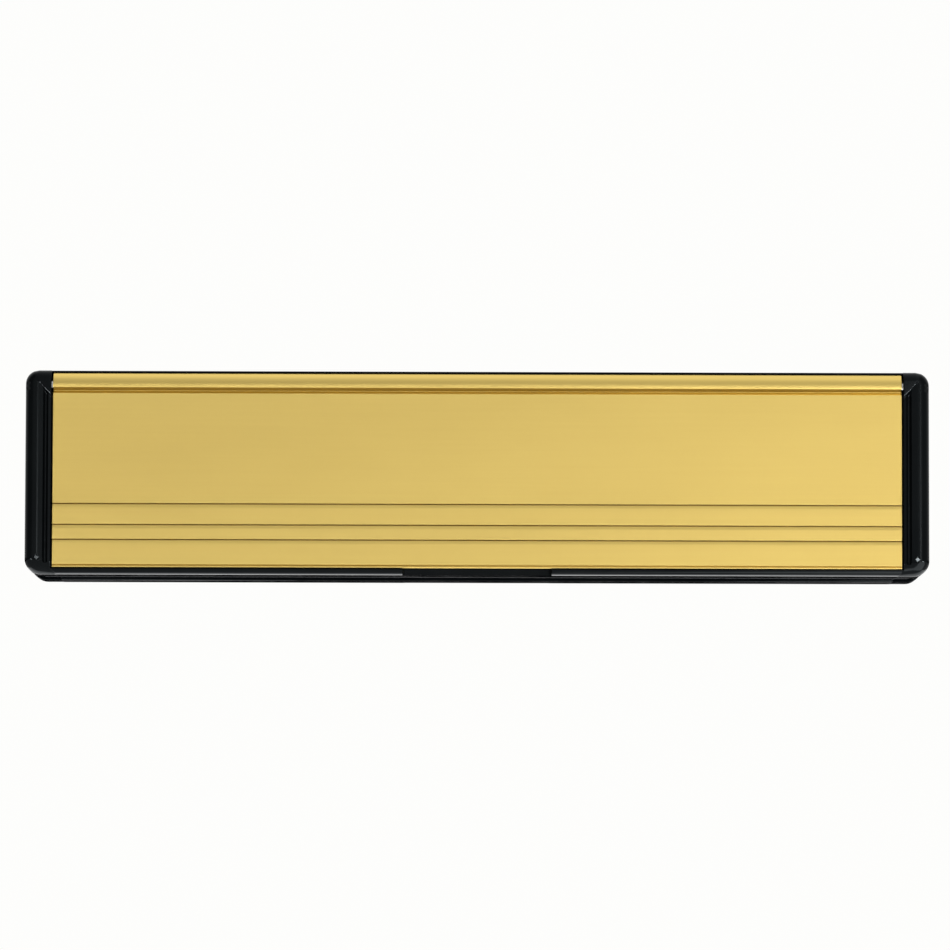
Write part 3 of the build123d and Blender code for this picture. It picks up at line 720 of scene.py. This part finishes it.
def relief_depth(x, z):
    """Depth of the end block's relief below its crest: slope, valley and boss edge."""
    fall = CREST_X - x
    if fall <= -CREST_ROUND:
        slope = 0.0
    elif fall >= CREST_ROUND:
        slope = SLOPE * fall
    else:
        slope = SLOPE * (fall + CREST_ROUND) ** 2 / (4 * CREST_ROUND)
    from_axis = math.hypot(x - VALLEY_X, min(0.0, z - VALLEY_END_Z))
    valley = 0.0
    if from_axis < VALLEY_RADIUS:
        valley = VALLEY_Y - CREST_Y + math.sqrt(VALLEY_RADIUS**2 - from_axis**2)
    depth = smooth_max(slope, valley, VALLEY_EASE)
    below_edge = (BOSS_EDGE_Z + (x - BOSS_EDGE_X) - z) / math.sqrt(2) + BOSS_EDGE_SHIFT
    bevel = BEVEL_WIDTH * min(1.0, max(0.0, (BEVEL_END_X - x) / BEVEL_FADE))
    flank_slope = FLANK_SLOPE + FLANK_STEEPENING * (BEVEL_WIDTH - bevel)
    allowed = BEVEL_SLOPE * min(max(below_edge, 0.0), bevel)
    allowed += flank_slope * max(0.0, below_edge - bevel)
    return -smooth_max(-depth, -allowed, BOSS_EDGE_EASE)


def mark_depth(x, z):
    """Depth of the small diamond-shaped mark near the block's foot, with a tilted floor."""
    across, up = x - MARK[0], z - MARK[1]
    if abs(across) + abs(up) > MARK_HALF:
        return 0.0
    return MARK_DEPTH + MARK_TILT * (across - up + MARK_HALF)


def inner_edge(z):
    """X of the end block's inner side, with its mitred foot."""
    return INNER_X - max(0.0, LEDGE_Z - z) * FOOT_RUN / (LEDGE_Z - BOTTOM_Z)


def front_y(x, z, round_depth):
    """Front face of an end block: relief, outer round-over and the inner side's eased lip."""
    depth = round_depth + relief_depth(x, z) * max(0.0, 1 - round_depth / EDGE_RADIUS)
    depth = max(depth, mark_depth(x, z))
    from_lip = min(INNER_LIP, x - inner_edge(z))
    lip_height = math.sqrt(max(0.0, INNER_LIP**2 - (INNER_LIP - from_lip) ** 2))
    return CREST_Y + depth + INNER_LIP - lip_height


def spaced(first, last, spacing):
    """Evenly spaced numbers from first to just short of last."""
    count = max(1, round(abs(last - first) / spacing))
    return [first + (last - first) * i / count for i in range(count)]


# the block's flat face, before it is rounded over to the block's outline
FACE_TOP = TOP_Z - EDGE_RADIUS
FACE_X = END_X - EDGE_RADIUS
UPPER_RADIUS = TOP_CORNER - EDGE_RADIUS
UPPER_CENTRE = (FACE_X - UPPER_RADIUS, FACE_TOP - UPPER_RADIUS)
LOWER_CENTRE = (END_X - BOTTOM_CORNER, BOTTOM_Z + BOTTOM_CORNER)
LOWER_AXES = (BOTTOM_CORNER - EDGE_RADIUS, BOTTOM_CORNER - FOOT_ROUND)  # of an ellipse
PLAIN_Z = (25.0, -27.6)  # between these heights the face has no boss, mark or corner


def face_rows():
    """Heights of the face's rows, close together where it isn't plain."""
    top, bottom = PLAIN_Z
    rows = spaced(FACE_TOP, top, 0.13) + spaced(top, bottom, 4.0)
    rows += spaced(bottom, LOWER_CENTRE[1], 0.15)
    sines = [math.sin(math.radians(a)) for a in range(0, 91, 6)]
    return rows + [LOWER_CENTRE[1] - LOWER_AXES[1] * sine for sine in sines]


def face_reach(z):
    """X of the face's outer side."""
    if z > UPPER_CENTRE[1]:
        rise = z - UPPER_CENTRE[1]
        return UPPER_CENTRE[0] + math.sqrt(max(0.0, UPPER_RADIUS**2 - rise**2))
    if z < LOWER_CENTRE[1]:
        share = min(1.0, (LOWER_CENTRE[1] - z) / LOWER_AXES[1])
        return LOWER_CENTRE[0] + LOWER_AXES[0] * math.sqrt(1 - share**2)
    return FACE_X


def way_out(x, z):
    """Way from the face's outer side to the outline, and the foot's share in the rounding."""
    if z > UPPER_CENTRE[1]:
        away = Vector((x - UPPER_CENTRE[0], z - UPPER_CENTRE[1])).normalized()
        return tuple(away * EDGE_RADIUS), 0.0
    if z < LOWER_CENTRE[1]:
        sine = (LOWER_CENTRE[1] - z) / LOWER_AXES[1]
        return (EDGE_RADIUS * math.sqrt(1 - sine**2), -FOOT_ROUND * sine), sine**2
    return (EDGE_RADIUS, 0.0), 0.0


def rounded_over(point, way, foot, out, foot_length):
    """A point of the face's rim, taken a share of its way out and back round the edge."""
    x, _, z = point
    run = math.hypot(*way)
    radius = run * (1 + FOOT_SLACK * foot)
    depth = radius - math.sqrt(max(0.0, radius**2 - (run * out) ** 2))
    new_x, new_z = x + way[0] * out, z + way[1] * out
    if way == (0.0, -FOOT_ROUND):
        lead = inner_edge(new_z)
        new_x = lead + (x - INNER_X) * (INNER_X + foot_length - lead) / foot_length
    return new_x, front_y(new_x, new_z, depth), new_z


def end_block():
    """The right-hand end block: a relief grid on its front, rounded over to its outline."""
    verts, faces = [], []

    def add_row(points):
        """Numbers of a row of new vertices."""
        verts.extend(points)
        return list(range(len(verts) - len(points), len(verts)))

    columns = [0, 0.012, 0.035, 0.07, 0.12, 0.2] + spaced(0.35, FACE_X - INNER_X, 0.16)
    columns = [c / (FACE_X - INNER_X) for c in columns] + [1.0]
    rows = face_rows()
    grid = []
    for z in rows:
        across = [INNER_X + (face_reach(z) - INNER_X) * c for c in columns]
        grid.append(add_row([(x, front_y(x, z, 0.0), z) for x in across]))
    for above, below in zip(grid, grid[1:]):
        faces += band(above, below, closed=False)

    # the grid's rim, from the inner top corner round the outside to the inner foot
    rim = [(i, (0.0, EDGE_RADIUS), 0.0) for i in grid[0]]
    rim += [(row[-1], *way_out(verts[row[-1]][0], z)) for z, row in zip(rows[1:-1], grid[1:-1])]
    rim += [(i, (0.0, -FOOT_ROUND), 1.0) for i in reversed(grid[-1])]
    foot_length = verts[grid[-1][-1]][0] - INNER_X
    previous = [i for i, way, foot in rim]
    inner_top, inner_foot = [], []
    for turn in (*range(2, 22, 2), *range(24, 91, 6)):
        out = math.sin(math.radians(turn))
        ring = add_row([rounded_over(verts[i], way, foot, out, foot_length) for i, way, foot in rim])
        faces += band(previous, ring, closed=False)
        inner_top.append(ring[0])
        inner_foot.append(ring[-1])
        previous = ring

    # the whole outline, taken to the back, where its outside has a small bevel
    loop = previous + inner_foot[-2::-1] + [row[0] for row in reversed(grid)] + inner_top[:-1]
    ways = [Vector(way).normalized() for _, way, foot in rim]
    ways += [Vector((0, 0))] * (len(loop) - len(rim))
    previous = loop
    for y, depth in ((REAR_Y - REAR_BEVEL, 0), (REAR_Y, REAR_BEVEL)):
        ring = add_row([
            (verts[i][0] - way.x * depth, y, verts[i][2] - way.y * depth)
            for i, way in zip(loop, ways)
        ])
        faces += band(previous, ring)
        previous = ring
    faces.append(tuple(previous))
    return verts, faces


def drill(start_x, radius, steps):
    """Cutter for a hole along the hinge's axis."""
    length = 10
    profile = [(0, 0), (0, radius), (length, radius), (length, 0)]
    return turned(profile, (start_x, *PIVOT), "x", steps)


def hinge_mark():
    """Cutter for the round mark beside the hinge, square to the block's rounded edge."""
    floor_at, past_edge = EDGE_RADIUS - HINGE_MARK_DEPTH, EDGE_RADIUS + 2
    profile = [(floor_at, 0), (floor_at, HINGE_MARK_RADIUS)]
    profile += [(past_edge, HINGE_MARK_RADIUS + 0.2), (past_edge, 0)]
    return moved(
        turned(profile, (0, 0, 0), "y", 48),
        lambda x, y, z: (
            END_X - EDGE_RADIUS + (y - x) * math.sqrt(0.5),
            CREST_Y + EDGE_RADIUS - (y + x) * math.sqrt(0.5),
            z + HINGE_MARK_Z,
        ),
    )


rebate_corners = ((REBATE_Y, -LAND_Z), (REBATE_Y, LAND_Z), (0.0, LAND_Z), (0.0, -LAND_Z))
clear_x = 100.0  # well inside the block's inner side
rebate = loft([[(x, y, z) for y, z in rebate_corners] for x in (clear_x, CHASSIS_X)])
block_cutter = merged(
    rebate,
    drill(PLUG_X, SOCKET_RADIUS, 56),
    drill(ROD_HALF - 9.8, ROD_HOLE_RADIUS, 40),
    hinge_mark(),
)
block = end_block()
in_both_units(
    "end_block_right_moulding", block, "unit", "black_gloss", "end_block_right", block_cutter, 40
)
in_both_units(
    "end_block_left_moulding", other_end(block), "unit", "black_gloss", "end_block_left",
    other_end(block_cutter), 40,
)

plug = turned(
    [(0, 0), (0, 1.7), (0.18, 1.88), (1.75, 1.88), (1.95, 1.84), (2.08, 1.72), (2.14, 1.5),
     (2.15, 1.2), (2.15, 0.75), (2.1, 0.66), (2.0, 0.6), (1.95, 0)],
    (PLUG_X, *PIVOT), "x", 56,
)
in_both_units("rod_plug_caps", pair(plug), "unit", "black_gloss", "rod_plugs")

# -------- rails
bore_end = math.degrees(math.asin((LAND_Z - PIVOT[1]) / RAIL_BORE))
top_outline = eased([
    (REAR_Y, LAND_Z, 0),
    (REAR_Y, TOP_Z, 0.2),
    (RAIL_FRONT_Y, TOP_Z, 0.22),
    (RAIL_FRONT_Y, PIVOT[1] + RAIL_BORE, 0.1),
])
top_outline += arc(PIVOT, RAIL_BORE, 90, bore_end, 14)
in_both_units(
    "top_rail_extrusion",
    run_along_x(top_outline, -INNER_X, INNER_X, 0.06),
    "unit", "black_gloss", "top_rail", sharp=40,
)


def bottom_rail():
    """Rail with a rounded lower edge, mitred ends and the finger notch in its middle."""
    front, radius, corner, lip = BOTTOM_RAIL_Y, BOTTOM_RAIL_RADIUS, NOTCH_CORNER, NOTCH_LIP
    stop_front, stop_back, stop_top, ease = -10.9, -9.5, -29.6, 0.15
    section = [(REAR_Y, BOTTOM_Z + 0.2), (REAR_Y, -LAND_Z), (stop_back, -LAND_Z)]
    section += [(stop_back, stop_top - ease), (stop_back - ease, stop_top)]
    section += [(stop_front + ease, stop_top), (stop_front, stop_top - ease)]
    section += [(stop_front, LEDGE_Z), (front + 0.25, LEDGE_Z), (front + 0.12, LEDGE_Z - 0.02)]
    section += arc((front + radius, BOTTOM_Z + radius), radius, 181, 270, 18)
    section += [(REAR_Y - 0.2, BOTTOM_Z)]

    # places along the left half, each with the least y there, then the same on the right
    stations = [(-INNER_X, front), (-INNER_X + 0.08, front), (-60.0, front)]
    stations += [(-NOTCH_HALF - lip, front)]
    stations += [(-x, y) for x, y in arc((NOTCH_HALF + lip, front + lip), lip, 270, 180, 5)]
    notch_corner = (NOTCH_HALF - corner, NOTCH_BACK_Y - corner)
    stations += [(-x, y) for x, y in arc(notch_corner, corner, 0, 90, 8)]
    stations += [(0.0, NOTCH_BACK_Y)]
    stations += [(-x, y) for x, y in reversed(stations[:-1])]

    rings = []
    for k, (x, limit) in enumerate(stations):
        ring = []
        at_end = k in (0, len(stations) - 1)
        points = inset(section, 0.1) if at_end else section
        for y, z in points:
            own_x = x
            if abs(x) > INNER_X - 0.5:
                mitre = inner_edge(z) - (0 if at_end else 0.12)
                own_x = math.copysign(mitre, x)
            ring.append((own_x, max(y, limit), z))
        rings.append(ring)
    return loft(rings)


in_both_units(
    "bottom_rail_extrusion", bottom_rail(), "unit", "black_gloss", "bottom_rail", sharp=40
)

# -------- hinge
rod_end = [(0.0, 0), (0.0, 1.2), (0.12, 1.38), (0.3, ROD_RADIUS)]  # from the end inwards
rod_profile = [(-ROD_HALF + along, radius) for along, radius in rod_end]
rod_profile += [(x, ROD_RADIUS) for x in (-100, -50, 0, 50, 100)]
rod_profile += [(ROD_HALF - along, radius) for along, radius in reversed(rod_end)]
rod = turned(rod_profile, (0, *PIVOT), "x", 40)
in_both_units("hinge_rod_bar", rod, "unit", "stainless", "hinge_rod")

bush_profile = [(-4, 1.67), (-4, 2.4), (-3.9, 2.54), (-3.75, 2.58), (-0.45, 2.58), (-0.35, 2.5)]
bush_profile += [(0.35, 2.5), (0.45, 2.58), (3.75, 2.58), (3.9, 2.54), (4, 2.4), (4, 1.67)]
bush_profile += [(3.88, 1.55), (-3.88, 1.55)]
bushes = merged(*[turned(bush_profile, (x, *PIVOT), "x", 40) for x in BUSHES_X])
in_both_units("flap_bush_sleeves", bushes, "flap", "nylon", "flap_bushes")


def coil_path():
    """The fixed part of a torsion spring: its coil, then its straight leg on the chassis."""
    start_turn = math.atan2(LEG_START[1] - PIVOT[1], LEG_START[0] - PIVOT[0])
    end_turn = -math.pi / 2 + COIL_TURNS * math.tau
    steps = COIL_TURNS * 18
    path = []
    for i in range(steps + 1):
        share = i / steps
        t = start_turn + (end_turn - start_turn) * share
        path.append((
            LEG_X + (COIL_END_X - LEG_X) * share,
            PIVOT[0] + COIL_RADIUS * math.cos(t),
            PIVOT[1] + COIL_RADIUS * math.sin(t),
        ))
    return path + [(COIL_END_X, y, PIVOT[1] - COIL_RADIUS) for y in FIXED_LEG_YS]


def leg_path():
    """The straight leg that presses on the flap."""
    run_y, run_z = LEG_END[0] - LEG_START[0], LEG_END[1] - LEG_START[1]
    return [
        (LEG_X, LEG_START[0] + run_y * share, LEG_START[1] + run_z * share)
        for share in (-0.02, 0.0, 0.5, 0.96, 1.0)
    ]


in_both_units(
    "spring_coils", pair(wire(coil_path(), WIRE_RADIUS, 8)), "unit", "spring_steel", "springs",
    weighted=False, sharp=60,
)
in_both_units(
    "spring_legs", pair(wire(leg_path(), WIRE_RADIUS, 10)), "flap", "spring_steel",
    weighted=False, sharp=60,
)

# -------- pile seals
def pile_lane(inwards, step):
    """The pile seal's outer outline, moved inwards by a distance."""
    half = (PILE_HI.x - inwards, PILE_HI.z - inwards)
    return rounded_rectangle(half, PILE_CORNER - inwards, step)


def tuft(draws, u, v):
    """A leaning, tapered tuft near a place on the backing."""
    u += draws.uniform(-TUFT_WANDER, TUFT_WANDER)
    v += draws.uniform(-TUFT_WANDER, TUFT_WANDER)
    lean_u, lean_v = draws.uniform(-TUFT_LEAN, TUFT_LEAN), draws.uniform(-TUFT_LEAN, TUFT_LEAN)
    tip = PILE_LO.y + draws.uniform(0.0, 0.14)
    size = draws.uniform(0.09, 0.14)
    turn = draws.uniform(0, math.tau)
    foot = [
        (u + size * math.cos(turn + a), PILE_HI.y - 0.15, v + size * math.sin(turn + a))
        for a in (0, math.tau / 3, 2 * math.tau / 3)
    ]
    head = [
        (x + lean_u - (x - u) * TUFT_TAPER, tip, z + lean_v - (z - v) * TUFT_TAPER)
        for x, _, z in foot
    ]
    return loft([foot, head])


def pile_seal():
    """Woven backing round the landing rim's tip, with rows of upright tufts."""
    draws = random.Random(20)
    base, face = PILE_HI.y, PILE_HI.y - BACKING_THICKNESS
    edge = [(base, 0.0), (face + 0.04, 0.0), (face, 0.1)]
    edge += [(y, PILE_WALL - inwards) for y, inwards in reversed(edge)]
    rings = [[(u, y, v) for u, v in pile_lane(inwards, 10)] for y, inwards in edge]
    tufts = []
    for lane in TUFT_LANES:
        path = pile_lane(lane, 6)
        path.append(path[0])
        carried = 0.0
        for start, end in zip(path, path[1:]):
            length = math.dist(start, end)
            along = carried
            while along < length:
                share = along / length
                tufts.append(tuft(draws, *[a + (b - a) * share for a, b in zip(start, end)]))
                along += TUFT_SPACING
            carried = along - length
    return merged(loft([*rings, rings[0]], caps=False), *tufts)


in_both_units("pile_seal_tufts", pile_seal(), "unit", "pile", "pile_seal", weighted=False, sharp=50)

# -------- screws, inserts, washers
def threaded(places, start, end, radius, depth, pitch, tip_taper):
    """Screw shanks along Y from tip to root, with a helical thread and a tapered tip."""
    sides, per_turn = 20, 5
    count = max(2, round(abs(end - start) / pitch * per_turn))
    rings = []
    for k in range(count + 1):
        y = start + (end - start) * k / count
        ring = []
        for s in range(sides):
            t = math.tau * s / sides
            phase = (abs(y - start) / pitch - s / sides) % 1.0
            crest = 1 - abs(2 * phase - 1)
            own = radius - depth * (1 - crest)
            own *= min(1.0, (0.25 + abs(y - start)) / tip_taper)
            ring.append((own * math.cos(t), y, own * math.sin(t)))
        rings.append(ring)
    shank = loft(rings)
    return merged(*[moved(shank, lambda x, y, z, c=c: (x + c[0], y, z + c[1])) for c in places])


def crosses(places, face, depth, length, width, sense):
    """Tapered cross recesses sunk into a face that looks along Y (sense 1) or against it (-1)."""
    shapes, taper = [], 0.62
    for cx, cz in places:
        for u, v in ((length, width), (width, length)):
            rings = []
            for y, size in ((face + sense * 0.4, 1.0), (face, 1.0), (face - sense * depth, taper)):
                rings.append([
                    (cx + a * u / 2 * size, y, cz + b * v / 2 * size)
                    for a, b in ((1, 1), (-1, 1), (-1, -1), (1, -1))
                ])
            shapes.append(loft(rings))
    return shapes


screw_lo, screw_hi = corners_mm("fixing_screws")
washer_lo, washer_hi = corners_mm("fixing_washers")
insert_lo, insert_hi = corners_mm("threaded_inserts")
FIXING_X = washer_hi.x - WASHER_RADIUS
FIXING_PLACES = ((-FIXING_X, 0.0), (FIXING_X, 0.0))


def at_places(profile, places, steps):
    """A profile turned about a line along Y at each (x, z) place."""
    return merged(*[turned(profile, (x, 0, z), "y", steps) for x, z in places])


def fixing_head_profile():
    """Pan head with an eased edge, a straight rim and a dome."""
    seat, rim = washer_hi.y, washer_hi.y + FIXING_RIM
    height, width = FIXING_DOME
    profile = [(seat, 0), (seat, FIXING_HEAD_RADIUS - 0.2), (seat + 0.12, FIXING_HEAD_RADIUS)]
    profile.append((rim, FIXING_HEAD_RADIUS))
    for angle in range(12, 91, 13):
        turn = math.radians(angle)
        radius = FIXING_HEAD_RADIUS - width + width * math.cos(turn)
        profile.append((rim + height * math.sin(turn), radius))
    return profile + [(screw_hi.y, 0)]


head_mesh = mesh_of("fixing_heads", at_places(fixing_head_profile(), FIXING_PLACES, 48))
for recess in crosses(FIXING_PLACES, screw_hi.y, 1.6, 4.6, 1.0, 1):
    head_mesh = cut(head_mesh, recess)
placed("fixing_screw_heads", head_mesh, "inner_unit", "zinc_steel", ["fixing_screws"], 30)
shanks = threaded(FIXING_PLACES, screw_lo.y, washer_hi.y + 0.1, 2.48, 0.38, 0.8, 0.9)
placed(
    "fixing_screw_shanks", mesh_of("fixing_shanks", shanks), "inner_unit", "zinc_steel", [], 50, False
)
eased_edge = [(0, WASHER_BORE), (0, WASHER_RADIUS - 0.15), (0.15, WASHER_RADIUS)]
washer_profile = [(washer_lo.y + along, radius) for along, radius in eased_edge]
washer_profile += [(washer_hi.y - along, radius) for along, radius in reversed(eased_edge)]
placed(
    "fixing_washer_rings", mesh_of("washers", at_places(washer_profile, FIXING_PLACES, 48)),
    "inner_unit", "zinc_steel", ["fixing_washers"], 30,
)


def insert(cx, cz):
    """Brass insert with a knurled outside and a chamfered bore."""
    steps = 72
    length = insert_hi.y - insert_lo.y
    chamfer, mouth, rim, waist, bore = 0.2, 2.75, 3.0, 2.95, 2.56
    rings = []
    for i in range(steps + 1):
        t = math.tau * (i % steps) / steps
        knurl = 3.2 - (0.14 if i % 3 == 0 else 0.0)
        profile = [(0, mouth), (0, rim), (chamfer, knurl), (length * 0.42, knurl)]
        profile += [(length * 0.46, waist), (length * 0.54, waist), (length * 0.58, knurl)]
        profile += [(length - chamfer, knurl), (length, rim), (length, mouth)]
        profile += [(length - chamfer, bore), (chamfer, bore)]
        rings.append([
            (cx + r * math.cos(t), insert_lo.y + a, cz + r * math.sin(t)) for a, r in profile
        ])
    return loft(rings, caps=False)


placed(
    "threaded_insert_sleeves",
    mesh_of("inserts", merged(*[insert(x, z) for x, z in FIXING_PLACES])),
    "outer_unit", "brass", ["threaded_inserts"], 30, False,
)

FRAME_PLACES = [
    (x, z) for x in (-FRAME_SCREWS_X, FRAME_SCREWS_X) for z in (-FRAME_SCREWS_Z, FRAME_SCREWS_Z)
]
countersunk = [(0.0, 0), (0.0, 2.4), (0.1, 2.48), (1.4, 1.2), (1.4, 0)]  # depth and radius
countersunk = [(REAR_Y - depth, radius) for depth, radius in countersunk]
screws_shape = merged(
    at_places(countersunk, FRAME_PLACES, 36),
    threaded(FRAME_PLACES, REAR_Y - 8.5, REAR_Y - 1.2, 1.25, 0.3, 0.9, 1.6),
)
for unit in ("outer", "inner"):
    own, seat, sense = screws_shape, REAR_Y, 1
    if unit == "inner":
        own, seat, sense = for_inner(screws_shape), GAP - REAR_Y, -1
    mesh = mesh_of("frame_screws", own)
    for recess in crosses(FRAME_PLACES, seat, 0.9, 2.6, 0.6, sense):
        mesh = cut(mesh, recess)
    placed(
        f"{unit}_frame_screw_bodies", mesh, f"{unit}_unit", "zinc_steel",
        [f"{unit}_frame_screws"], 30, False,
    )

# -------- mouldings, sleeves, foam
for unit in ("outer", "inner"):
    finished(f"{unit}_chassis", 0.18, 0.6)
    finished(f"{unit}_sleeve", 0.16, 0.1)
    finished(f"{unit}_gasket", 0.12, 0.3)

# -------- floor, light and camera, in metres
FLOOR_Z = -1.3
FLOOR_RADIUS = 6.0

LAMP_SIZE = (0.1, 0.1)
LAMP_DISTANCE = 1.2
LAMP_WAY = (0.441, -0.848, -0.296)  # from the plate's end towards the right-hand lamp
LAMPS = (("low_left_lamp", -1, 6.0, 0.05), ("low_right_lamp", 1, 4.5, 0.015))

CAMERA_DISTANCE = 2.1
CAMERA_LENS = 236.2
CAMERA_BELOW = math.radians(4.4)
CAMERA_ASIDE = math.radians(-0.15)
CAMERA_ROLL = math.radians(0.15)
AIM_SHIFT = -0.00077  # of the aim from the plate's middle, in x and in z


def floor():
    """A plain pale disc far below the plate."""
    rings, count = 12, 96
    verts = [(0.0, 0.0, FLOOR_Z)]
    for k in range(1, rings + 1):
        r = FLOOR_RADIUS * (k / rings) ** 1.5
        verts += [
            (r * math.cos(math.tau * i / count), r * math.sin(math.tau * i / count), FLOOR_Z)
            for i in range(count)
        ]
    faces = [(0, 1 + i, 1 + (i + 1) % count) for i in range(count)]
    for a in range(1, len(verts) - count, count):
        faces += band(range(a + count, a + 2 * count), range(a, a + count))
    mesh = bpy.data.meshes.new("floor")
    mesh.from_pydata(verts, [], faces)
    f = Finish("floor", Specular_IOR_Level=0.1)
    clouds = f.noise(0.6, detail=3)
    f.colour(clouds, (0.3, (0.86, 0.86, 0.855)), (0.7, (0.9, 0.9, 0.895)))
    f.roughness(clouds, 0.8, 0.95)
    mesh.materials.append(f.material)
    new_object("floor", mesh)


def softbox(name, place, aim, size, power):
    """Rectangular area light aimed at a point, unseen by the camera."""
    light = bpy.data.lights.new(name, "AREA")
    light.shape = "RECTANGLE"
    light.size, light.size_y = size
    light.energy = power
    thing = new_object(name, light)
    thing.location = place
    thing.rotation_euler = (Vector(aim) - Vector(place)).to_track_quat("-Z", "Y").to_euler()
    thing.visible_camera = False


floor()
for name, side, power, height in LAMPS:
    way = Vector((LAMP_WAY[0] * side, *LAMP_WAY[1:]))
    place = Vector((side * END_X * MM, 0, height)) + way * LAMP_DISTANCE
    softbox(name, place, (0, 0, 0), LAMP_SIZE, power)
softbox("low_softbox", (0, 0.42, -0.65), (0, 0, 0), (1.6, 1.0), 23.0)
softbox("right_softbox", (0.34, -0.37, -0.37), (0.1, 0, 0), (0.5, 0.5), 4.2)


def world():
    """Light tent: white backdrop for the camera, graded brightness for everything else."""
    tent = bpy.data.worlds.new("tent")
    bpy.context.scene.world = tent
    tent.use_nodes = True
    tree = tent.node_tree
    tree.nodes.clear()

    def span(source, *ends):
        return ranged(tree, source, *ends, smooth=True)

    def maths(operation, *sources):
        made = add_node(tree, "ShaderNodeMath")
        made.operation = operation
        for k, source in enumerate(sources):
            if isinstance(source, (int, float)):
                made.inputs[k].default_value = source
            else:
                tree.links.new(source, made.inputs[k])
        return made.outputs["Value"]

    direction = add_node(tree, "ShaderNodeTexCoord").outputs["Generated"]
    axes = add_node(tree, "ShaderNodeSeparateXYZ")
    tree.links.new(direction, axes.inputs["Vector"])
    x, y, z = axes.outputs
    share_of_height = maths("MULTIPLY", maths("ADD", z, 1.0), 0.5)
    brightest = 8.0  # the ramps' colours stop at 1, so they hold shares of this

    def by_height(*stops):
        """Brightness from the direction's z, through (z, brightness) stops."""
        greys = [(height / 2 + 0.5, [value / brightest] * 3) for height, value in stops]
        return maths("MULTIPLY", colour_ramp(tree, share_of_height, greys), brightest)

    def between(source, low, low_full, high_full, high):
        """1 between the inner two values, fading to 0 at the outer two."""
        rise, fall = span(source, low, low_full, 0, 1), span(source, high_full, high, 1, 0)
        return maths("MULTIPLY", rise, fall)

    front = by_height(
        (-1.0, 0.9), (-0.6, 0.45), (-0.35, 0.5), (-0.2, 0.7), (0.0, 0.95), (0.15, 0.95),
        (0.5, 1.0), (0.8, 1.25), (0.97, 1.7), (1.0, 1.8),
    )
    rear = by_height(
        (-1.0, 1.0), (-0.64, 0.8), (-0.34, 0.4), (-0.12, 0.0), (0.0, 0.0), (0.05, 1.0),
        (0.1, 1.4), (0.3, 1.2), (0.6, 1.6), (1.0, 1.8),
    )
    to_side = span(maths("ABSOLUTE", x), 0.2, 0.5, 1.0, 0.4)
    to_right = span(x, -0.2, 0.3, 0.72, 1.4)
    front = maths("MULTIPLY", front, maths("MULTIPLY", to_side, to_right))
    is_rear = span(y, -0.35, 0.35, 0, 1)
    front = maths("MULTIPLY", front, maths("SUBTRACT", 1.0, is_rear))
    graded = maths("ADD", front, maths("MULTIPLY", rear, is_rear))
    # a narrow bright strip in front, for the line along the left end block's crest
    across, upright = between(x, 0.078, 0.088, 0.112, 0.122), between(z, -0.2, -0.1, 0.055, 0.095)
    ahead = span(y, -0.9, -0.8, 15.0, 0)
    graded = maths("ADD", graded, maths("MULTIPLY", maths("MULTIPLY", across, upright), ahead))
    light = add_node(tree, "ShaderNodeBackground", Color=(1, 1, 1, 1))
    tree.links.new(graded, light.inputs["Strength"])
    backdrop = add_node(tree, "ShaderNodeBackground", Color=(0.985, 0.985, 0.972, 1), Strength=1.0)
    to_camera = add_node(tree, "ShaderNodeLightPath").outputs["Is Camera Ray"]
    chosen = add_node(tree, "ShaderNodeMixShader")
    for k, source in enumerate((to_camera, light.outputs[0], backdrop.outputs[0])):
        tree.links.new(source, chosen.inputs[k])
    output = add_node(tree, "ShaderNodeOutputWorld")
    tree.links.new(chosen.outputs[0], output.inputs["Surface"])


world()

camera_data = bpy.data.cameras.new("camera")
camera = new_object("camera", camera_data)
camera_data.sensor_width = 36.0
camera_data.lens = CAMERA_LENS
aim = Vector((AIM_SHIFT, CREST_Y * MM, AIM_SHIFT))
level = math.cos(CAMERA_BELOW)
way = Vector((
    math.sin(CAMERA_ASIDE) * level, -math.cos(CAMERA_ASIDE) * level, -math.sin(CAMERA_BELOW)
))
camera.location = aim + way * CAMERA_DISTANCE
roll = Quaternion((0, 0, 1), CAMERA_ROLL)
camera.rotation_euler = ((aim - camera.location).to_track_quat("-Z", "Y") @ roll).to_euler()
camera_data.clip_start, camera_data.clip_end = 0.05, 30.0
bpy.context.scene.camera = camera
bpy.context.scene.view_settings.view_transform = "Standard"
